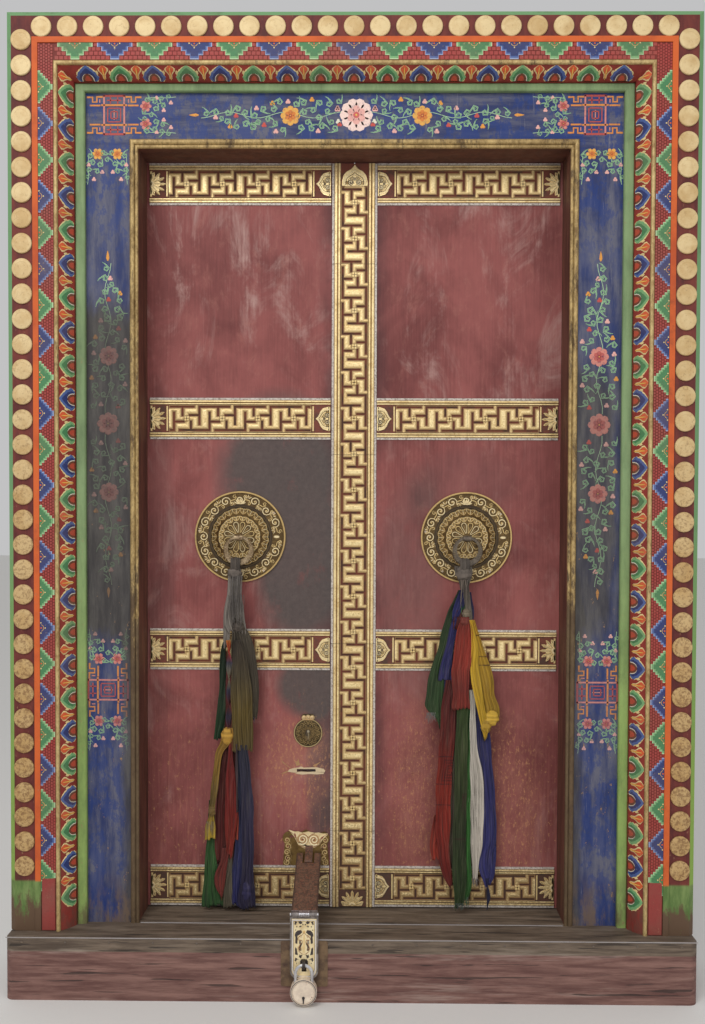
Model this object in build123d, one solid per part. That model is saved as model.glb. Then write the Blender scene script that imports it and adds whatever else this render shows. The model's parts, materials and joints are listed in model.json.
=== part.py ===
from build123d import *
import os
from math import atan2, cos, degrees, hypot, radians, sin

# Double-leaf temple door in its painted and carved frame, in millimetres.
# +X is to the right as seen from outside, +Y goes into the building, +Z is up.
# x = 0 is where the leaves meet, y = 0 is their outer face, z = 0 is the ground.

# Doorway
OPENING_WIDTH = 1200.0
OPENING_HEIGHT = 2172.0
REVEAL_DEPTH = 121.0
CASING_STAND = 69.0
CASING_DEPTH = 130.0

# Threshold: one beam with an outer plank and an inner plank on top of it
BEAM_HEIGHT = 135.0
PLANK_HEIGHT = 39.0
THRESHOLD_STAND = 46.0
THRESHOLD_BACK = 90.0
TREAD_RISE = 3.0
PLANK_ROUND = 4.0

# Frame members from the doorway outwards: width up the sides, width across the top
OPENING_BEAD = (24.0, 26.5)
INNER_BOARD = (122.0, 126.5)
GREEN_EDGE = (27.0, 22.0)
PETAL_MOULDING = (32.5, 28.0)
CASING_BEAD = (11.5, 12.5)
STEPPED_BOARD = (42.0, 47.0)
DISC_BOARD = (87.0, 87.5)
OPENING_BEAD_STAND = 9.0
GREEN_EDGE_STAND = 16.0
PETAL_FALL = 44.0
PETAL_BULGE = 5.0
CASING_BEAD_STAND = 6.0
FILLET_WIDTH = 15.5
FILLET_STAND = 4.0
OUTER_CHAMFER = (14.0, 12.0)

# Leaves and the pivots they turn on
LEAF_THICKNESS = 50.0
JAMB_COVER = 35.0
HEAD_COVER = 30.0
LEAF_FLOOR_GAP = 3.0
MEETING_GAP = 3.0
HEEL_STILE_WIDTH = 140.0
LEDGE_HEIGHT = 90.0
LEDGE_THICKNESS = 30.0
LEDGE_INSET = 30.0
LEDGE_END_RISE = 170.0
LEDGE_END_DROP = 196.0
LEDGE_CHAMFER = 8.0
PIN_RADIUS = 11.0
PIN_SHANK = 40.0
PIN_REACH = 26.0
PIN_FIT = 0.08
CUP_WIDTH = 40.0
CUP_DEPTH = 30.0
PIVOT_BLOCK = (140.0, 75.0, 80.0)
BLOCK_GAP = 4.0

# Fret bands across the leaves and the astragal down the meeting line
BAND_HEIGHT = 120.0
BAND_FOOT_GAP = 1.0
BAND_HEAD_GAP = 2.0
BAND_MIDDLE_RISES = (763.0, 1435.0)
BAND_END_GAP = 8.0
BAND_PLATE = 3.0
NAIL_STRIP = 6.0
BEAD_STAND = 4.0
FIELD_HEIGHT = 78.0
FIELD_STAND = 2.5
FIELD_GAP = 0.8
FRET_PERIOD = 103.5
GROOVE_WIDTH = 5.5
CAP_RADIUS = 34.0
CAP_LENGTH = 46.0
CAP_FIT = 4.0
LOTUS_ANGLES = (-72, -36, 0, 36, 72)
LOTUS_PETAL_SHARE = 0.26
ASTRAGAL_WIDTH = 130.0
ASTRAGAL_SHIFT = 1.0
ASTRAGAL_LIFT = 0.4
ASTRAGAL_CAP = 66.0
ASTRAGAL_CAP_FIT = 6.0
ASTRAGAL_CAP_HALF = 37.0
ASTRAGAL_FOOT = 52.0
ASTRAGAL_PHASE = 0.44
BAND_ASTRAGAL_GAP = (3.0, 1.0)

# Bosses, pull rings and the scarves tied to them
BOSS_RISE = 1092.0
BOSS_RADIUS = 132.0
BOSS_RIM = 6.0
BOSS_ROLL = 2.5
BOSS_PLATE = 4.0
BOSS_GROOVE_DEPTH = 2.5
DOME_RADIUS = 86.0
DOME_HEIGHT = 24.0
ROSETTE_RADIUS = 42.0
ROSETTE_STAND = 4.0
ROSETTE_PETALS = 12
ROSETTE_PETAL_SHARE = 0.17
KNOB_NECK = 7.0
BOLT_SHARE = 0.7
BARREL_RADIUS = 8.0
BARREL_LENGTH = 24.0
RING_DROP = 2.0
RING_STAND = 45.0
RING_OUTER = 43.5
RING_INNER = 31.0
RING_SHIFT = 5.0
RING_DEPTH = 9.0
RING_CHAMFER = 2.5
RING_CENTRE_DROP = 37.0
RING_PIN_RADIUS = 2.6
RING_END_GAP = 0.4
SCARF_THICKNESS = 36.0
SCARF_GAP = 0.4
SCARF_HANG_GAP = 0.6
SCARF_CHAMFER = 6.0

# Key plate and slot in the left leaf
KEY_PLATE_X = -130.0
KEY_PLATE_RISE = 518.5
KEY_PLATE_RADIUS = 42.0
KEY_PLATE_DISH = 7.0
KEY_PLATE_RIM = (4.0, 3.0)
KEY_HOLE_RADIUS = 6.0
KEY_TAB = (38.0, 16.0)
SLOT_X = -123.0
SLOT_RISE = 406.0
SLOT_SIZE = (79.0, 11.0)

# Hasp, staple and padlock that hold the left leaf to the threshold
LOCK_X = -126.0
CLOUD_PLATE = (136.0, 106.0, 3.0)
CLOUD_PLATE_X = -135.0
CLOUD_PLATE_SHOULDERS = ((0.92, 0.62), (0.99, 0.82), (0.78, 0.94), (0.4, 0.9))
CLOUD_PLATE_HOLES = ((0.34, 0.74, 4, 4), (0.62, 0.8, 8, 3.5), (0.72, 0.5, 3.5, 6), (0.82, 0.2, 3.5, 8))
HOOK_WIDTH = 22.0
HOOK_THICKNESS = 5.0
HOOK_PROUD = 1.5
HOOK_LIP = 8.0
HOOK_LIP_GAP = 6.0
HOOK_FOOT = (3.0, 30.0)
STRAP_WIDTH = 71.0
STRAP_THICKNESS = 5.0
STRAP_HEAD_RISE = 165.0
STRAP_HEAD_GAP = 8.0
STRAP_HEAD_ROUND = 6.0
STRAP_NOTCH = (34.0, 44.0)
KNUCKLE_RADIUS = 6.5
KNUCKLE_PIN_RADIUS = 3.0
KNUCKLE_HEIGHT = 72.0
KNUCKLE_STAND = 9.0
KNUCKLE_MIDDLE = 28.0
KNUCKLE_GAP = 0.4
HASP_PLATE = (77.0, 172.0, 3.0)
HASP_FACE = (67.0, 160.0, 1.6)
HASP_FACE_HOLES = ((24, 14, 3, 3), (9, 20, 3, 2), (22, 44, 3.5, 7), (11, 64, 2.5, 8), (22, 84, 3, 5))
HASP_FOOT_ROUND = 0.3
HASP_SLOT = (13.0, 12.0, 0.3)
HINGE_PIN_HEAD = (3.0, 1.5)
THRESHOLD_PLATE_ROUND = 6.0
THRESHOLD_PLATE = (128.0, 125.0, 2.0)
STAPLE_DROP = 61.0
STAPLE_STAND = 26.0
STAPLE_WIDTH = 8.0
STAPLE_RADIUS = 11.0
STAPLE_ROOT = 30.0
STAPLE_EDGE = 5.0
SHACKLE_RADIUS = 22.0
SHACKLE_ROD = 4.5
SHACKLE_FIT = 1.2
PADLOCK_RADIUS = 36.0
PADLOCK_THICKNESS = 24.0
PADLOCK_DROP = 70.5
PADLOCK_PIVOT_RISE = 21.0
PADLOCK_RIM = 4.0
PADLOCK_OPEN = 20.0
PADLOCK_PIN_RADIUS = 2.5
PADLOCK_DISH = 1.5
PADLOCK_WAY_FIT = 0.6
KEYHOLE = (3.2, 14.0, 3.4, 10.0)

# Heights, faces and places that follow from the sizes above
HALF_OPENING = OPENING_WIDTH / 2
SILL_TOP = BEAM_HEIGHT + PLANK_HEIGHT
HEAD_BOTTOM = SILL_TOP + OPENING_HEIGHT
JAMB_FACE = -REVEAL_DEPTH
CASING_FACE = JAMB_FACE - CASING_STAND
CASING_BACK = CASING_FACE + CASING_DEPTH
THRESHOLD_FACE = CASING_FACE - THRESHOLD_STAND
LEAF_BOTTOM = SILL_TOP + TREAD_RISE + LEAF_FLOOR_GAP
LEAF_TOP = HEAD_BOTTOM + HEAD_COVER
PIVOT_X = HALF_OPENING + JAMB_COVER
PIVOT_Y = LEAF_THICKNESS / 2
BAND_START = HALF_OPENING - BAND_END_GAP
BAND_CENTRES = (LEAF_BOTTOM + BAND_FOOT_GAP + BAND_HEIGHT / 2, SILL_TOP + BAND_MIDDLE_RISES[0],
                SILL_TOP + BAND_MIDDLE_RISES[1], HEAD_BOTTOM - BAND_HEAD_GAP - BAND_HEIGHT / 2)
LEDGE_HEIGHTS = (LEAF_BOTTOM + LEDGE_END_RISE, (LEAF_BOTTOM + LEAF_TOP) / 2, LEAF_TOP - LEDGE_END_DROP)
ASTRAGAL_RIGHT = ASTRAGAL_SHIFT + ASTRAGAL_WIDTH / 2
ASTRAGAL_LEFT = ASTRAGAL_SHIFT - ASTRAGAL_WIDTH / 2
BAND_LENGTHS = (BAND_START + ASTRAGAL_LEFT - BAND_ASTRAGAL_GAP[0],
                BAND_START - ASTRAGAL_RIGHT - BAND_ASTRAGAL_GAP[1])
BOSS_X = (BAND_START + ASTRAGAL_RIGHT) / 2
BOSS_Z = SILL_TOP + BOSS_RISE
RING_PIVOT_Z = BOSS_Z - RING_DROP
RING_FOOT = RING_OUTER - RING_INNER + RING_SHIFT
SCARF_PIVOT_Z = RING_PIVOT_Z - RING_CENTRE_DROP - RING_OUTER + RING_FOOT / 2
KEY_PLATE_Z = SILL_TOP + KEY_PLATE_RISE
SLOT_Z = SILL_TOP + SLOT_RISE
KNUCKLE_Z = SILL_TOP + KNUCKLE_HEIGHT
KNUCKLE_Y = THRESHOLD_FACE - KNUCKLE_STAND
STRAP_RISE = SILL_TOP + STRAP_HEAD_RISE - KNUCKLE_Z
STRAP_RUN = -CLOUD_PLATE[2] - STRAP_HEAD_GAP - KNUCKLE_Y
STRAP_REACH = hypot(STRAP_RISE, STRAP_RUN)
HASP_TOP = KNUCKLE_Z - KNUCKLE_RADIUS + 1
STAPLE_Y = THRESHOLD_FACE - STAPLE_STAND
STAPLE_Z = SILL_TOP - STAPLE_DROP
SHACKLE_Z = STAPLE_Z - SHACKLE_RADIUS
PADLOCK_Z = STAPLE_Z - PADLOCK_DROP
PADLOCK_PIVOT_Z = PADLOCK_Z + PADLOCK_PIVOT_RISE


def block(x0, x1, y0, y1, z0, z1):
    """A box between two corners."""
    return Pos((x0 + x1) / 2, (y0 + y1) / 2, (z0 + z1) / 2) * Box(x1 - x0, y1 - y0, z1 - z0)


def rod_x(x0, x1, y, z, radius):
    """A round bar along X."""
    return Pos((x0 + x1) / 2, y, z) * Rot(0, 90, 0) * Cylinder(radius, x1 - x0)


def rod_y(x, y0, y1, z, radius):
    """A round bar along Y."""
    return Pos(x, (y0 + y1) / 2, z) * Rot(90, 0, 0) * Cylinder(radius, y1 - y0)


def rod_z(x, y, z0, z1, radius):
    """A round bar along Z."""
    return Pos(x, y, (z0 + z1) / 2) * Cylinder(radius, z1 - z0)


def upright(sketch, y_back, thickness):
    """A shape drawn in X and Z, standing from y_back towards the viewer."""
    plane = Plane(origin=(0, y_back, 0), x_dir=(1, 0, 0), z_dir=(0, -1, 0))
    return extrude(plane * sketch, amount=thickness)


def closed_face(*edges):
    """A face bounded by the given lines and arcs."""
    return make_face(Curve() + list(edges))


# Profiles of the frame members: u runs outwards from the doorway, v is depth

def opening_bead_profile(width):
    """Two rounded beads side by side, the outer one larger."""
    small = width * 0.4
    foot = JAMB_FACE
    rise = OPENING_BEAD_STAND
    inner = ThreePointArc((0, foot - 2), (small / 2, foot - rise * 0.75), (small, foot - 2))
    outer = ThreePointArc((small, foot - 2), ((small + width) / 2, foot - rise), (width, foot - 2))
    base = Polyline((width, foot - 2), (width, foot), (0, foot), (0, foot - 2))
    return closed_face(inner, outer, base)


def green_edge_profile(width):
    """A plain raised lath with softened front corners."""
    front = JAMB_FACE - GREEN_EDGE_STAND
    soft = 3.0
    return make_face(Polyline(
        (0, CASING_BACK), (0, front + soft), (soft, front), (width - soft, front),
        (width, front + soft), (width, CASING_BACK), close=True))


def petal_profile(width):
    """A swelling cove that falls back from the casing face to the green edge."""
    high = CASING_FACE + 2
    low = CASING_FACE + PETAL_FALL
    middle = ((width / 2), (high + low) / 2 - PETAL_BULGE)
    swell = ThreePointArc((0, low), middle, (width, high))
    rest = Polyline((width, high), (width, CASING_BACK), (0, CASING_BACK), (0, low))
    return closed_face(swell, rest)


def casing_bead_profile(width):
    """A lath with a half-round nose."""
    front = CASING_FACE
    nose = ThreePointArc((0, front), (width / 2, front - CASING_BEAD_STAND), (width, front))
    rest = Polyline((width, front), (width, CASING_BACK), (0, CASING_BACK), (0, front))
    return closed_face(nose, rest)


def stepped_board_profile(width):
    """The flat ground that carries the stepped carving."""
    return make_face(Polyline(
        (0, CASING_BACK), (0, CASING_FACE), (width, CASING_FACE), (width, CASING_BACK), close=True))


def disc_board_profile(width):
    """A raised fillet, a flat ground for the row of discs and a sloping outer edge."""
    slope, fall = OUTER_CHAMFER
    return make_face(Polyline(
        (0, CASING_BACK), (0, CASING_FACE - FILLET_STAND), (FILLET_WIDTH, CASING_FACE - FILLET_STAND),
        (FILLET_WIDTH, CASING_FACE), (width - slope, CASING_FACE), (width, CASING_FACE + fall),
        (width, CASING_BACK), close=True))


def mitred_set(name, offset, widths, profile):
    """Left, right and top members of one frame, cut to each other at the top corners."""
    side_width, top_width = widths
    inner_x = HALF_OPENING + offset[0]
    outer_x = inner_x + side_width
    inner_z = HEAD_BOTTOM + offset[1]
    outer_z = inner_z + top_width
    side = extrude(Pos(inner_x, 0, SILL_TOP) * profile(side_width), amount=outer_z - SILL_TOP,
                   dir=(0, 0, 1))
    side_outline = make_face(Polyline(
        (inner_x, SILL_TOP), (outer_x, SILL_TOP), (outer_x, outer_z), (inner_x, inner_z), close=True))
    reach = THRESHOLD_BACK - THRESHOLD_FACE
    side = side & upright(side_outline, THRESHOLD_BACK, reach)
    across = Plane(origin=(outer_x, 0, inner_z), x_dir=(0, 0, 1), z_dir=(-1, 0, 0))
    top = extrude(across * profile(top_width), amount=2 * outer_x)
    top_outline = make_face(Polyline(
        (-inner_x, inner_z), (inner_x, inner_z), (outer_x, outer_z), (-outer_x, outer_z), close=True))
    top = top & upright(top_outline, THRESHOLD_BACK, reach)
    return {f"{name}_right": side, f"{name}_left": side.mirror(Plane.YZ), f"{name}_top": top}


def frame_members():
    """The posts, the lintel and the nested mitred mouldings around them."""
    board_side = OPENING_BEAD[0] + INNER_BOARD[0]
    board_top = OPENING_BEAD[1] + INNER_BOARD[1]
    post = block(HALF_OPENING, HALF_OPENING + board_side, JAMB_FACE, 0, SILL_TOP, HEAD_BOTTOM)
    lintel = block(-HALF_OPENING - board_side, HALF_OPENING + board_side, JAMB_FACE, 0,
                   HEAD_BOTTOM, HEAD_BOTTOM + board_top)
    parts = {"right_jamb_post": post, "left_jamb_post": post.mirror(Plane.YZ), "lintel": lintel}
    parts.update(mitred_set("opening_bead", (0, 0), OPENING_BEAD, opening_bead_profile))
    offset = (board_side, board_top)
    nested = (("green_edge", GREEN_EDGE, green_edge_profile),
              ("petal_moulding", PETAL_MOULDING, petal_profile),
              ("casing_bead", CASING_BEAD, casing_bead_profile),
              ("stepped_board", STEPPED_BOARD, stepped_board_profile),
              ("disc_board", DISC_BOARD, disc_board_profile))
    for name, widths, profile in nested:
        parts.update(mitred_set(name, offset, widths, profile))
        offset = (offset[0] + widths[0], offset[1] + widths[1])
    return parts, offset


def cup_block(x, top):
    """The square seat of a pivot cup."""
    half = CUP_WIDTH / 2
    return block(x - half, x + half, PIVOT_Y - half, PIVOT_Y + half, SILL_TOP - CUP_DEPTH, top)


def threshold(half_width):
    """A beam on the ground with two planks on it; the inner one rises a little as a tread."""
    beam = block(-half_width, half_width, THRESHOLD_FACE, THRESHOLD_BACK, 0, BEAM_HEIGHT)
    beam = fillet(beam.edges().filter_by(Axis.Z).group_by(Axis.Y)[0], 6 * PLANK_ROUND)
    outer = block(-half_width, half_width, THRESHOLD_FACE, JAMB_FACE, BEAM_HEIGHT, SILL_TOP)
    outer = fillet(outer.edges().filter_by(Axis.Z).group_by(Axis.Y)[0], 6 * PLANK_ROUND)
    outer = chamfer(outer.edges().filter_by(Axis.X).group_by(Axis.Y)[0].group_by(Axis.Z)[-1], PLANK_ROUND)
    inner = block(-half_width, half_width, JAMB_FACE, THRESHOLD_BACK, BEAM_HEIGHT, SILL_TOP)
    tread = block(-HALF_OPENING, HALF_OPENING, JAMB_FACE, THRESHOLD_BACK, SILL_TOP, SILL_TOP + TREAD_RISE)
    inner = inner + tread
    for side in (-1, 1):
        inner = inner - cup_block(side * PIVOT_X, SILL_TOP + 1)
    return {"threshold_beam": beam, "threshold_outer_plank": outer, "threshold_inner_plank": inner}


def pivot_seats():
    """Iron cups let into the threshold and wooden blocks on the back of the lintel."""
    parts = {}
    block_width, block_depth, block_height = PIVOT_BLOCK
    for name, side in (("left", -1), ("right", 1)):
        x = side * PIVOT_X
        cup = cup_block(x, SILL_TOP)
        floor = LEAF_BOTTOM - PIN_REACH - 0.3
        cup = cup - rod_z(x, PIVOT_Y, floor, SILL_TOP + 1, PIN_RADIUS + PIN_FIT)
        low = LEAF_TOP + BLOCK_GAP
        head = block(x - block_width / 2, x + block_width / 2, 0, block_depth, low, low + block_height)
        roof = LEAF_TOP + PIN_REACH + 2
        head = head - rod_z(x, PIVOT_Y, low - 1, roof, PIN_RADIUS + PIN_FIT)
        head = chamfer(head.edges().group_by(Axis.Y)[-1], LEDGE_CHAMFER)
        parts[f"bottom_pivot_cup_{name}"] = cup
        parts[f"top_pivot_block_{name}"] = head
    return parts


# The key fret: one unit is a groove and the same groove turned half round the centre.
# Each groove is a tall bar with two stems and a foot, given as shares of the period.
FRET_BAR = 0.327
FRET_BAR_TOP = 0.195
FRET_FOOT = 0.643
FRET_FOOT_END = 0.158
FRET_STEM = 0.118
FRET_INNER = 0.09
FRET_BREAK = 0.09


def groove_bars(period):
    """The centre lines of one groove as (x0, y0, x1, y1), with y running down."""
    a = FRET_BAR * period
    foot = FRET_FOOT * period
    inner = FRET_INNER * period
    stem = FRET_STEM * period
    return ((-a, -FRET_BAR_TOP * period, -a, foot),
            (-a, foot, FRET_FOOT_END * period, foot),
            (-a, stem, -inner, stem),
            (-inner, foot, -inner, (1 - FRET_BREAK) * period))


def fret_grooves(count, first, low, high, along_x):
    """All grooves of a band, clipped to the stretch from low to high along the band."""
    half = GROOVE_WIDTH / 2
    grooves = []
    for index in range(-1, count + 1):
        centre = first + index * FRET_PERIOD
        for turn in (1, -1):
            bars = []
            for x0, y0, x1, y1 in groove_bars(FRET_PERIOD):
                x_low, x_high = sorted((turn * x0, turn * x1))
                y_low, y_high = sorted((centre + turn * y0, centre + turn * y1))
                y_low = max(y_low - half, low)
                y_high = min(y_high + half, high)
                if y_high - y_low < GROOVE_WIDTH * 0.9:
                    continue
                across = x_high - x_low + GROOVE_WIDTH
                place = (x_low + x_high) / 2
                along = (y_low + y_high) / 2
                if along_x:
                    bars.append(Pos(-along, -place) * Rectangle(y_high - y_low, across))
                else:
                    bars.append(Pos(place, -along) * Rectangle(across, y_high - y_low))
            if bars:
                grooves.append(Sketch() + bars)
    return grooves


def bead_points(near, far, rise):
    """A bead in section: a low ridge with sloping sides."""
    slope = (far - near) * 0.3
    crest = BAND_PLATE + rise
    return [(near, BAND_PLATE), (near + slope, crest), (far - slope, crest), (far, BAND_PLATE)]


def ridge_profile(width):
    """Section of a band's plate: nailing strip, double bead, ground, double bead, strip."""
    outer = width / 2 - NAIL_STRIP
    inner = FIELD_HEIGHT / 2 + FIELD_GAP
    middle = inner + (outer - inner) * 0.45
    right = bead_points(inner, middle, BEAD_STAND * 0.75)[:-1] + bead_points(middle, outer, BEAD_STAND)
    right = right + [(width / 2, BAND_PLATE)]
    left = [(-u, v) for u, v in reversed(right)]
    return make_face(Polyline((-width / 2, 0), *left, *right, (width / 2, 0), close=True))


def petal(inner, outer, half_width):
    """One pointed petal along +X."""
    shoulder = inner + (outer - inner) * 0.45
    brow = inner + (outer - inner) * 0.82
    soft = half_width * 0.7
    return make_face(Polyline(
        (inner, 0), (shoulder, -half_width), (brow, -soft), (outer, 0), (brow, soft),
        (shoulder, half_width), close=True))


def lotus_fan():
    """Half a lotus: five petals from one point, opening towards +X."""
    leaf = petal(0, CAP_RADIUS, CAP_RADIUS * LOTUS_PETAL_SHARE)
    fan = Sketch() + [Rot(0, 0, angle) * leaf for angle in LOTUS_ANGLES]
    keep = Pos(CAP_RADIUS / 2 + 1, 0) * Rectangle(CAP_RADIUS, 2.4 * CAP_RADIUS)
    return fan & keep


def cloud_cap(length, half):
    """A bracketed point: flat foot at x = 0, shoulders, and an ogee tip at x = length."""
    upper = ((0, 1), (0.2, 1), (0.5, 0.88), (0.68, 0.62), (0.78, 0.3), (0.9, 0.12))
    top = [(length * along, half * out) for along, out in upper]
    foot = [(x, -y) for x, y in reversed(top)]
    return make_face(Polyline(*top, (length, 0), *foot, close=True))


def fret_band(length):
    """One band, running from its hinge end at x = 0 to its closing end at x = length."""
    across = Plane(origin=(0, 0, 0), x_dir=(0, 0, 1), z_dir=(1, 0, 0))
    plate = extrude(across * ridge_profile(BAND_HEIGHT), amount=length)
    count = int((length - 2 * CAP_LENGTH) / FRET_PERIOD)
    run = count * FRET_PERIOD
    start = (length - run) / 2
    field = Pos(start + run / 2, 0) * Rectangle(run, FIELD_HEIGHT)
    edge = GROOVE_WIDTH / 2
    first = -start - run + FRET_PERIOD / 2
    grooves = fret_grooves(count, first, -start - run + edge, -start - edge, True)
    top_y = -BAND_PLATE
    raised = upright(field, top_y, FIELD_STAND)
    cuts = [upright(groove, top_y, FIELD_STAND + 1) for groove in grooves]
    raised = raised - cuts
    fan = upright(Pos(1, 0) * lotus_fan(), top_y, FIELD_STAND)
    point = Rot(0, 0, 180) * cloud_cap(CAP_LENGTH - CAP_FIT, CAP_RADIUS)
    cap = upright(Pos(length - 1, 0) * point, top_y, FIELD_STAND)
    return plate + raised + fan + cap


def band_set(side):
    """The four bands of one leaf; those of the right leaf are turned half round, not mirrored."""
    band = fret_band(BAND_LENGTHS[0] if side < 0 else BAND_LENGTHS[1])
    turned = band if side < 0 else Rot(0, 180, 0) * band
    return [Pos(side * BAND_START, 0, height) * turned for height in BAND_CENTRES]


def astragal():
    """The upright fret band on the right leaf; it laps over the edge of the left leaf."""
    low = LEAF_BOTTOM
    high = HEAD_BOTTOM - LEAF_FLOOR_GAP
    section = Rot(0, 0, 180) * ridge_profile(ASTRAGAL_WIDTH)
    plate = extrude(Pos(ASTRAGAL_SHIFT, -ASTRAGAL_LIFT, low) * section, amount=high - low)
    backing = block(MEETING_GAP / 2, ASTRAGAL_RIGHT, -ASTRAGAL_LIFT, 0, low, high)
    field_low = low + ASTRAGAL_FOOT
    field_high = high - ASTRAGAL_CAP
    middle = (field_low + field_high) / 2
    field = Pos(ASTRAGAL_SHIFT, middle) * Rectangle(FIELD_HEIGHT, field_high - field_low)
    edge = GROOVE_WIDTH / 2
    count = int((field_high - field_low) / FRET_PERIOD) + 1
    first = -field_high + FRET_PERIOD * ASTRAGAL_PHASE
    grooves = fret_grooves(count, first, -field_high + edge, -field_low - edge, False)
    top_y = -ASTRAGAL_LIFT - BAND_PLATE
    raised = upright(field, top_y, FIELD_STAND)
    shifted = Pos(ASTRAGAL_SHIFT, 0)
    raised = raised - [upright(shifted * groove, top_y, FIELD_STAND + 1) for groove in grooves]
    cap = Rot(0, 0, 90) * cloud_cap(ASTRAGAL_CAP - ASTRAGAL_CAP_FIT, ASTRAGAL_CAP_HALF)
    foot = Rot(0, 0, 90) * lotus_fan()
    for height, shape in ((field_high + 2, cap), (low + 2, foot)):
        raised = raised + upright(Pos(ASTRAGAL_SHIFT, height) * shape, top_y, FIELD_STAND)
    return plate + backing + raised


def leaf_boards():
    """The three boards of the right leaf and the ledges across its back."""
    stile_edge = PIVOT_X - HEEL_STILE_WIDTH + LEAF_THICKNESS / 2
    board = (stile_edge - MEETING_GAP / 2) / 2
    heel = Pos((stile_edge + PIVOT_X) / 2, PIVOT_Y) * Rectangle(PIVOT_X - stile_edge, LEAF_THICKNESS)
    heel = heel + Pos(PIVOT_X, PIVOT_Y) * Circle(LEAF_THICKNESS / 2)
    stile = extrude(Pos(0, 0, LEAF_BOTTOM) * heel, amount=LEAF_TOP - LEAF_BOTTOM)
    bore = PIN_RADIUS
    for low, high in ((LEAF_BOTTOM - 1, LEAF_BOTTOM + PIN_SHANK), (LEAF_TOP - PIN_SHANK, LEAF_TOP + 1)):
        stile = stile - rod_z(PIVOT_X, PIVOT_Y, low, high, bore)
    middle = block(stile_edge - board, stile_edge, 0, LEAF_THICKNESS, LEAF_BOTTOM, LEAF_TOP)
    closing = block(MEETING_GAP / 2, stile_edge - board, 0, LEAF_THICKNESS, LEAF_BOTTOM, LEAF_TOP)
    ledges = []
    for height in LEDGE_HEIGHTS:
        low = height - LEDGE_HEIGHT / 2
        ledge = block(LEDGE_INSET, HALF_OPENING - LEDGE_INSET / 2, LEAF_THICKNESS,
                      LEAF_THICKNESS + LEDGE_THICKNESS, low, low + LEDGE_HEIGHT)
        ledges.append(chamfer(ledge.edges().group_by(Axis.Y)[-1], LEDGE_CHAMFER))
    pins = [rod_z(PIVOT_X, PIVOT_Y, LEAF_BOTTOM - PIN_REACH, LEAF_BOTTOM + PIN_SHANK, PIN_RADIUS),
            rod_z(PIVOT_X, PIVOT_Y, LEAF_TOP - PIN_SHANK, LEAF_TOP + PIN_REACH, PIN_RADIUS)]
    return {"heel_stile": [stile], "middle_plank": [middle], "closing_plank": [closing],
            "ledges": ledges, "pivot_pins": pins}


def boss():
    """A spun disc: raised rim, flat ring, and a dome rising from a groove to a rosette."""
    rim = BOSS_RADIUS - BOSS_RIM
    flat = -BOSS_PLATE
    bed = flat + BOSS_GROOVE_DEPTH
    crown = DOME_RADIUS - DOME_HEIGHT
    section = make_face(Polyline(
        (0, 0), (BOSS_RADIUS, 0), (BOSS_RADIUS, flat - BOSS_ROLL), (rim, flat - BOSS_ROLL), (rim, flat),
        (DOME_RADIUS, flat), (DOME_RADIUS, bed), (crown, -DOME_HEIGHT), (0, -DOME_HEIGHT), close=True))
    disc = revolve(section, Axis.Y)
    leaf = petal(0, ROSETTE_RADIUS, ROSETTE_RADIUS * ROSETTE_PETAL_SHARE)
    pitch = 360 / ROSETTE_PETALS
    petals = Sketch() + [Rot(0, 0, pitch * (step + 0.5)) * leaf for step in range(ROSETTE_PETALS)]
    rosette = upright(petals, -DOME_HEIGHT, ROSETTE_STAND)
    return disc + rosette - rod_y(0, -2 * DOME_HEIGHT, 1, 0, KNOB_NECK)


def ring_knob():
    """A bolt through the leaf whose head is a level barrel, bored for the ends of the ring."""
    half = BARREL_LENGTH / 2
    neck = rod_y(0, -RING_STAND, LEAF_THICKNESS * BOLT_SHARE, 0, KNOB_NECK)
    barrel = rod_x(-half, half, -RING_STAND, -RING_DROP, BARREL_RADIUS)
    return neck + barrel - rod_x(-half - 1, half + 1, -RING_STAND, -RING_DROP, RING_PIN_RADIUS + PIN_FIT)


def pull_ring():
    """A ring that thickens towards its foot, open at the top, with two pins turned inwards."""
    cut = BARREL_LENGTH / 2 + RING_END_GAP
    centre = -RING_DROP - RING_CENTRE_DROP
    outline = Pos(0, centre) * (Circle(RING_OUTER) - Pos(0, RING_SHIFT) * Circle(RING_INNER))
    outline = outline - Pos(0, centre + RING_OUTER) * Rectangle(2 * cut, 2 * (RING_OUTER - RING_INNER))
    ring = upright(outline, -RING_STAND + RING_DEPTH / 2, RING_DEPTH)
    outer_edges = [edge for edge in ring.edges().filter_by(GeomType.CIRCLE) if edge.radius > RING_OUTER - 1]
    ring = chamfer(outer_edges, RING_CHAMFER)
    inner = BARREL_LENGTH / 2 * 0.4
    for side in (-1, 1):
        near, far = sorted((side * inner, side * (cut + 1)))
        ring = ring + rod_x(near, far, -RING_STAND, -RING_DROP, RING_PIN_RADIUS)
    return ring


def scarf(corners):
    """A plain soft stand-in for a bunch of hanging cloth, drawn in X and Z."""
    outline = make_face(Polyline(*corners, close=True))
    body = upright(outline, -RING_STAND + SCARF_THICKNESS / 2, SCARF_THICKNESS)
    return chamfer(body.edges().filter_by(Axis.Y, reverse=True), SCARF_CHAMFER)


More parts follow.
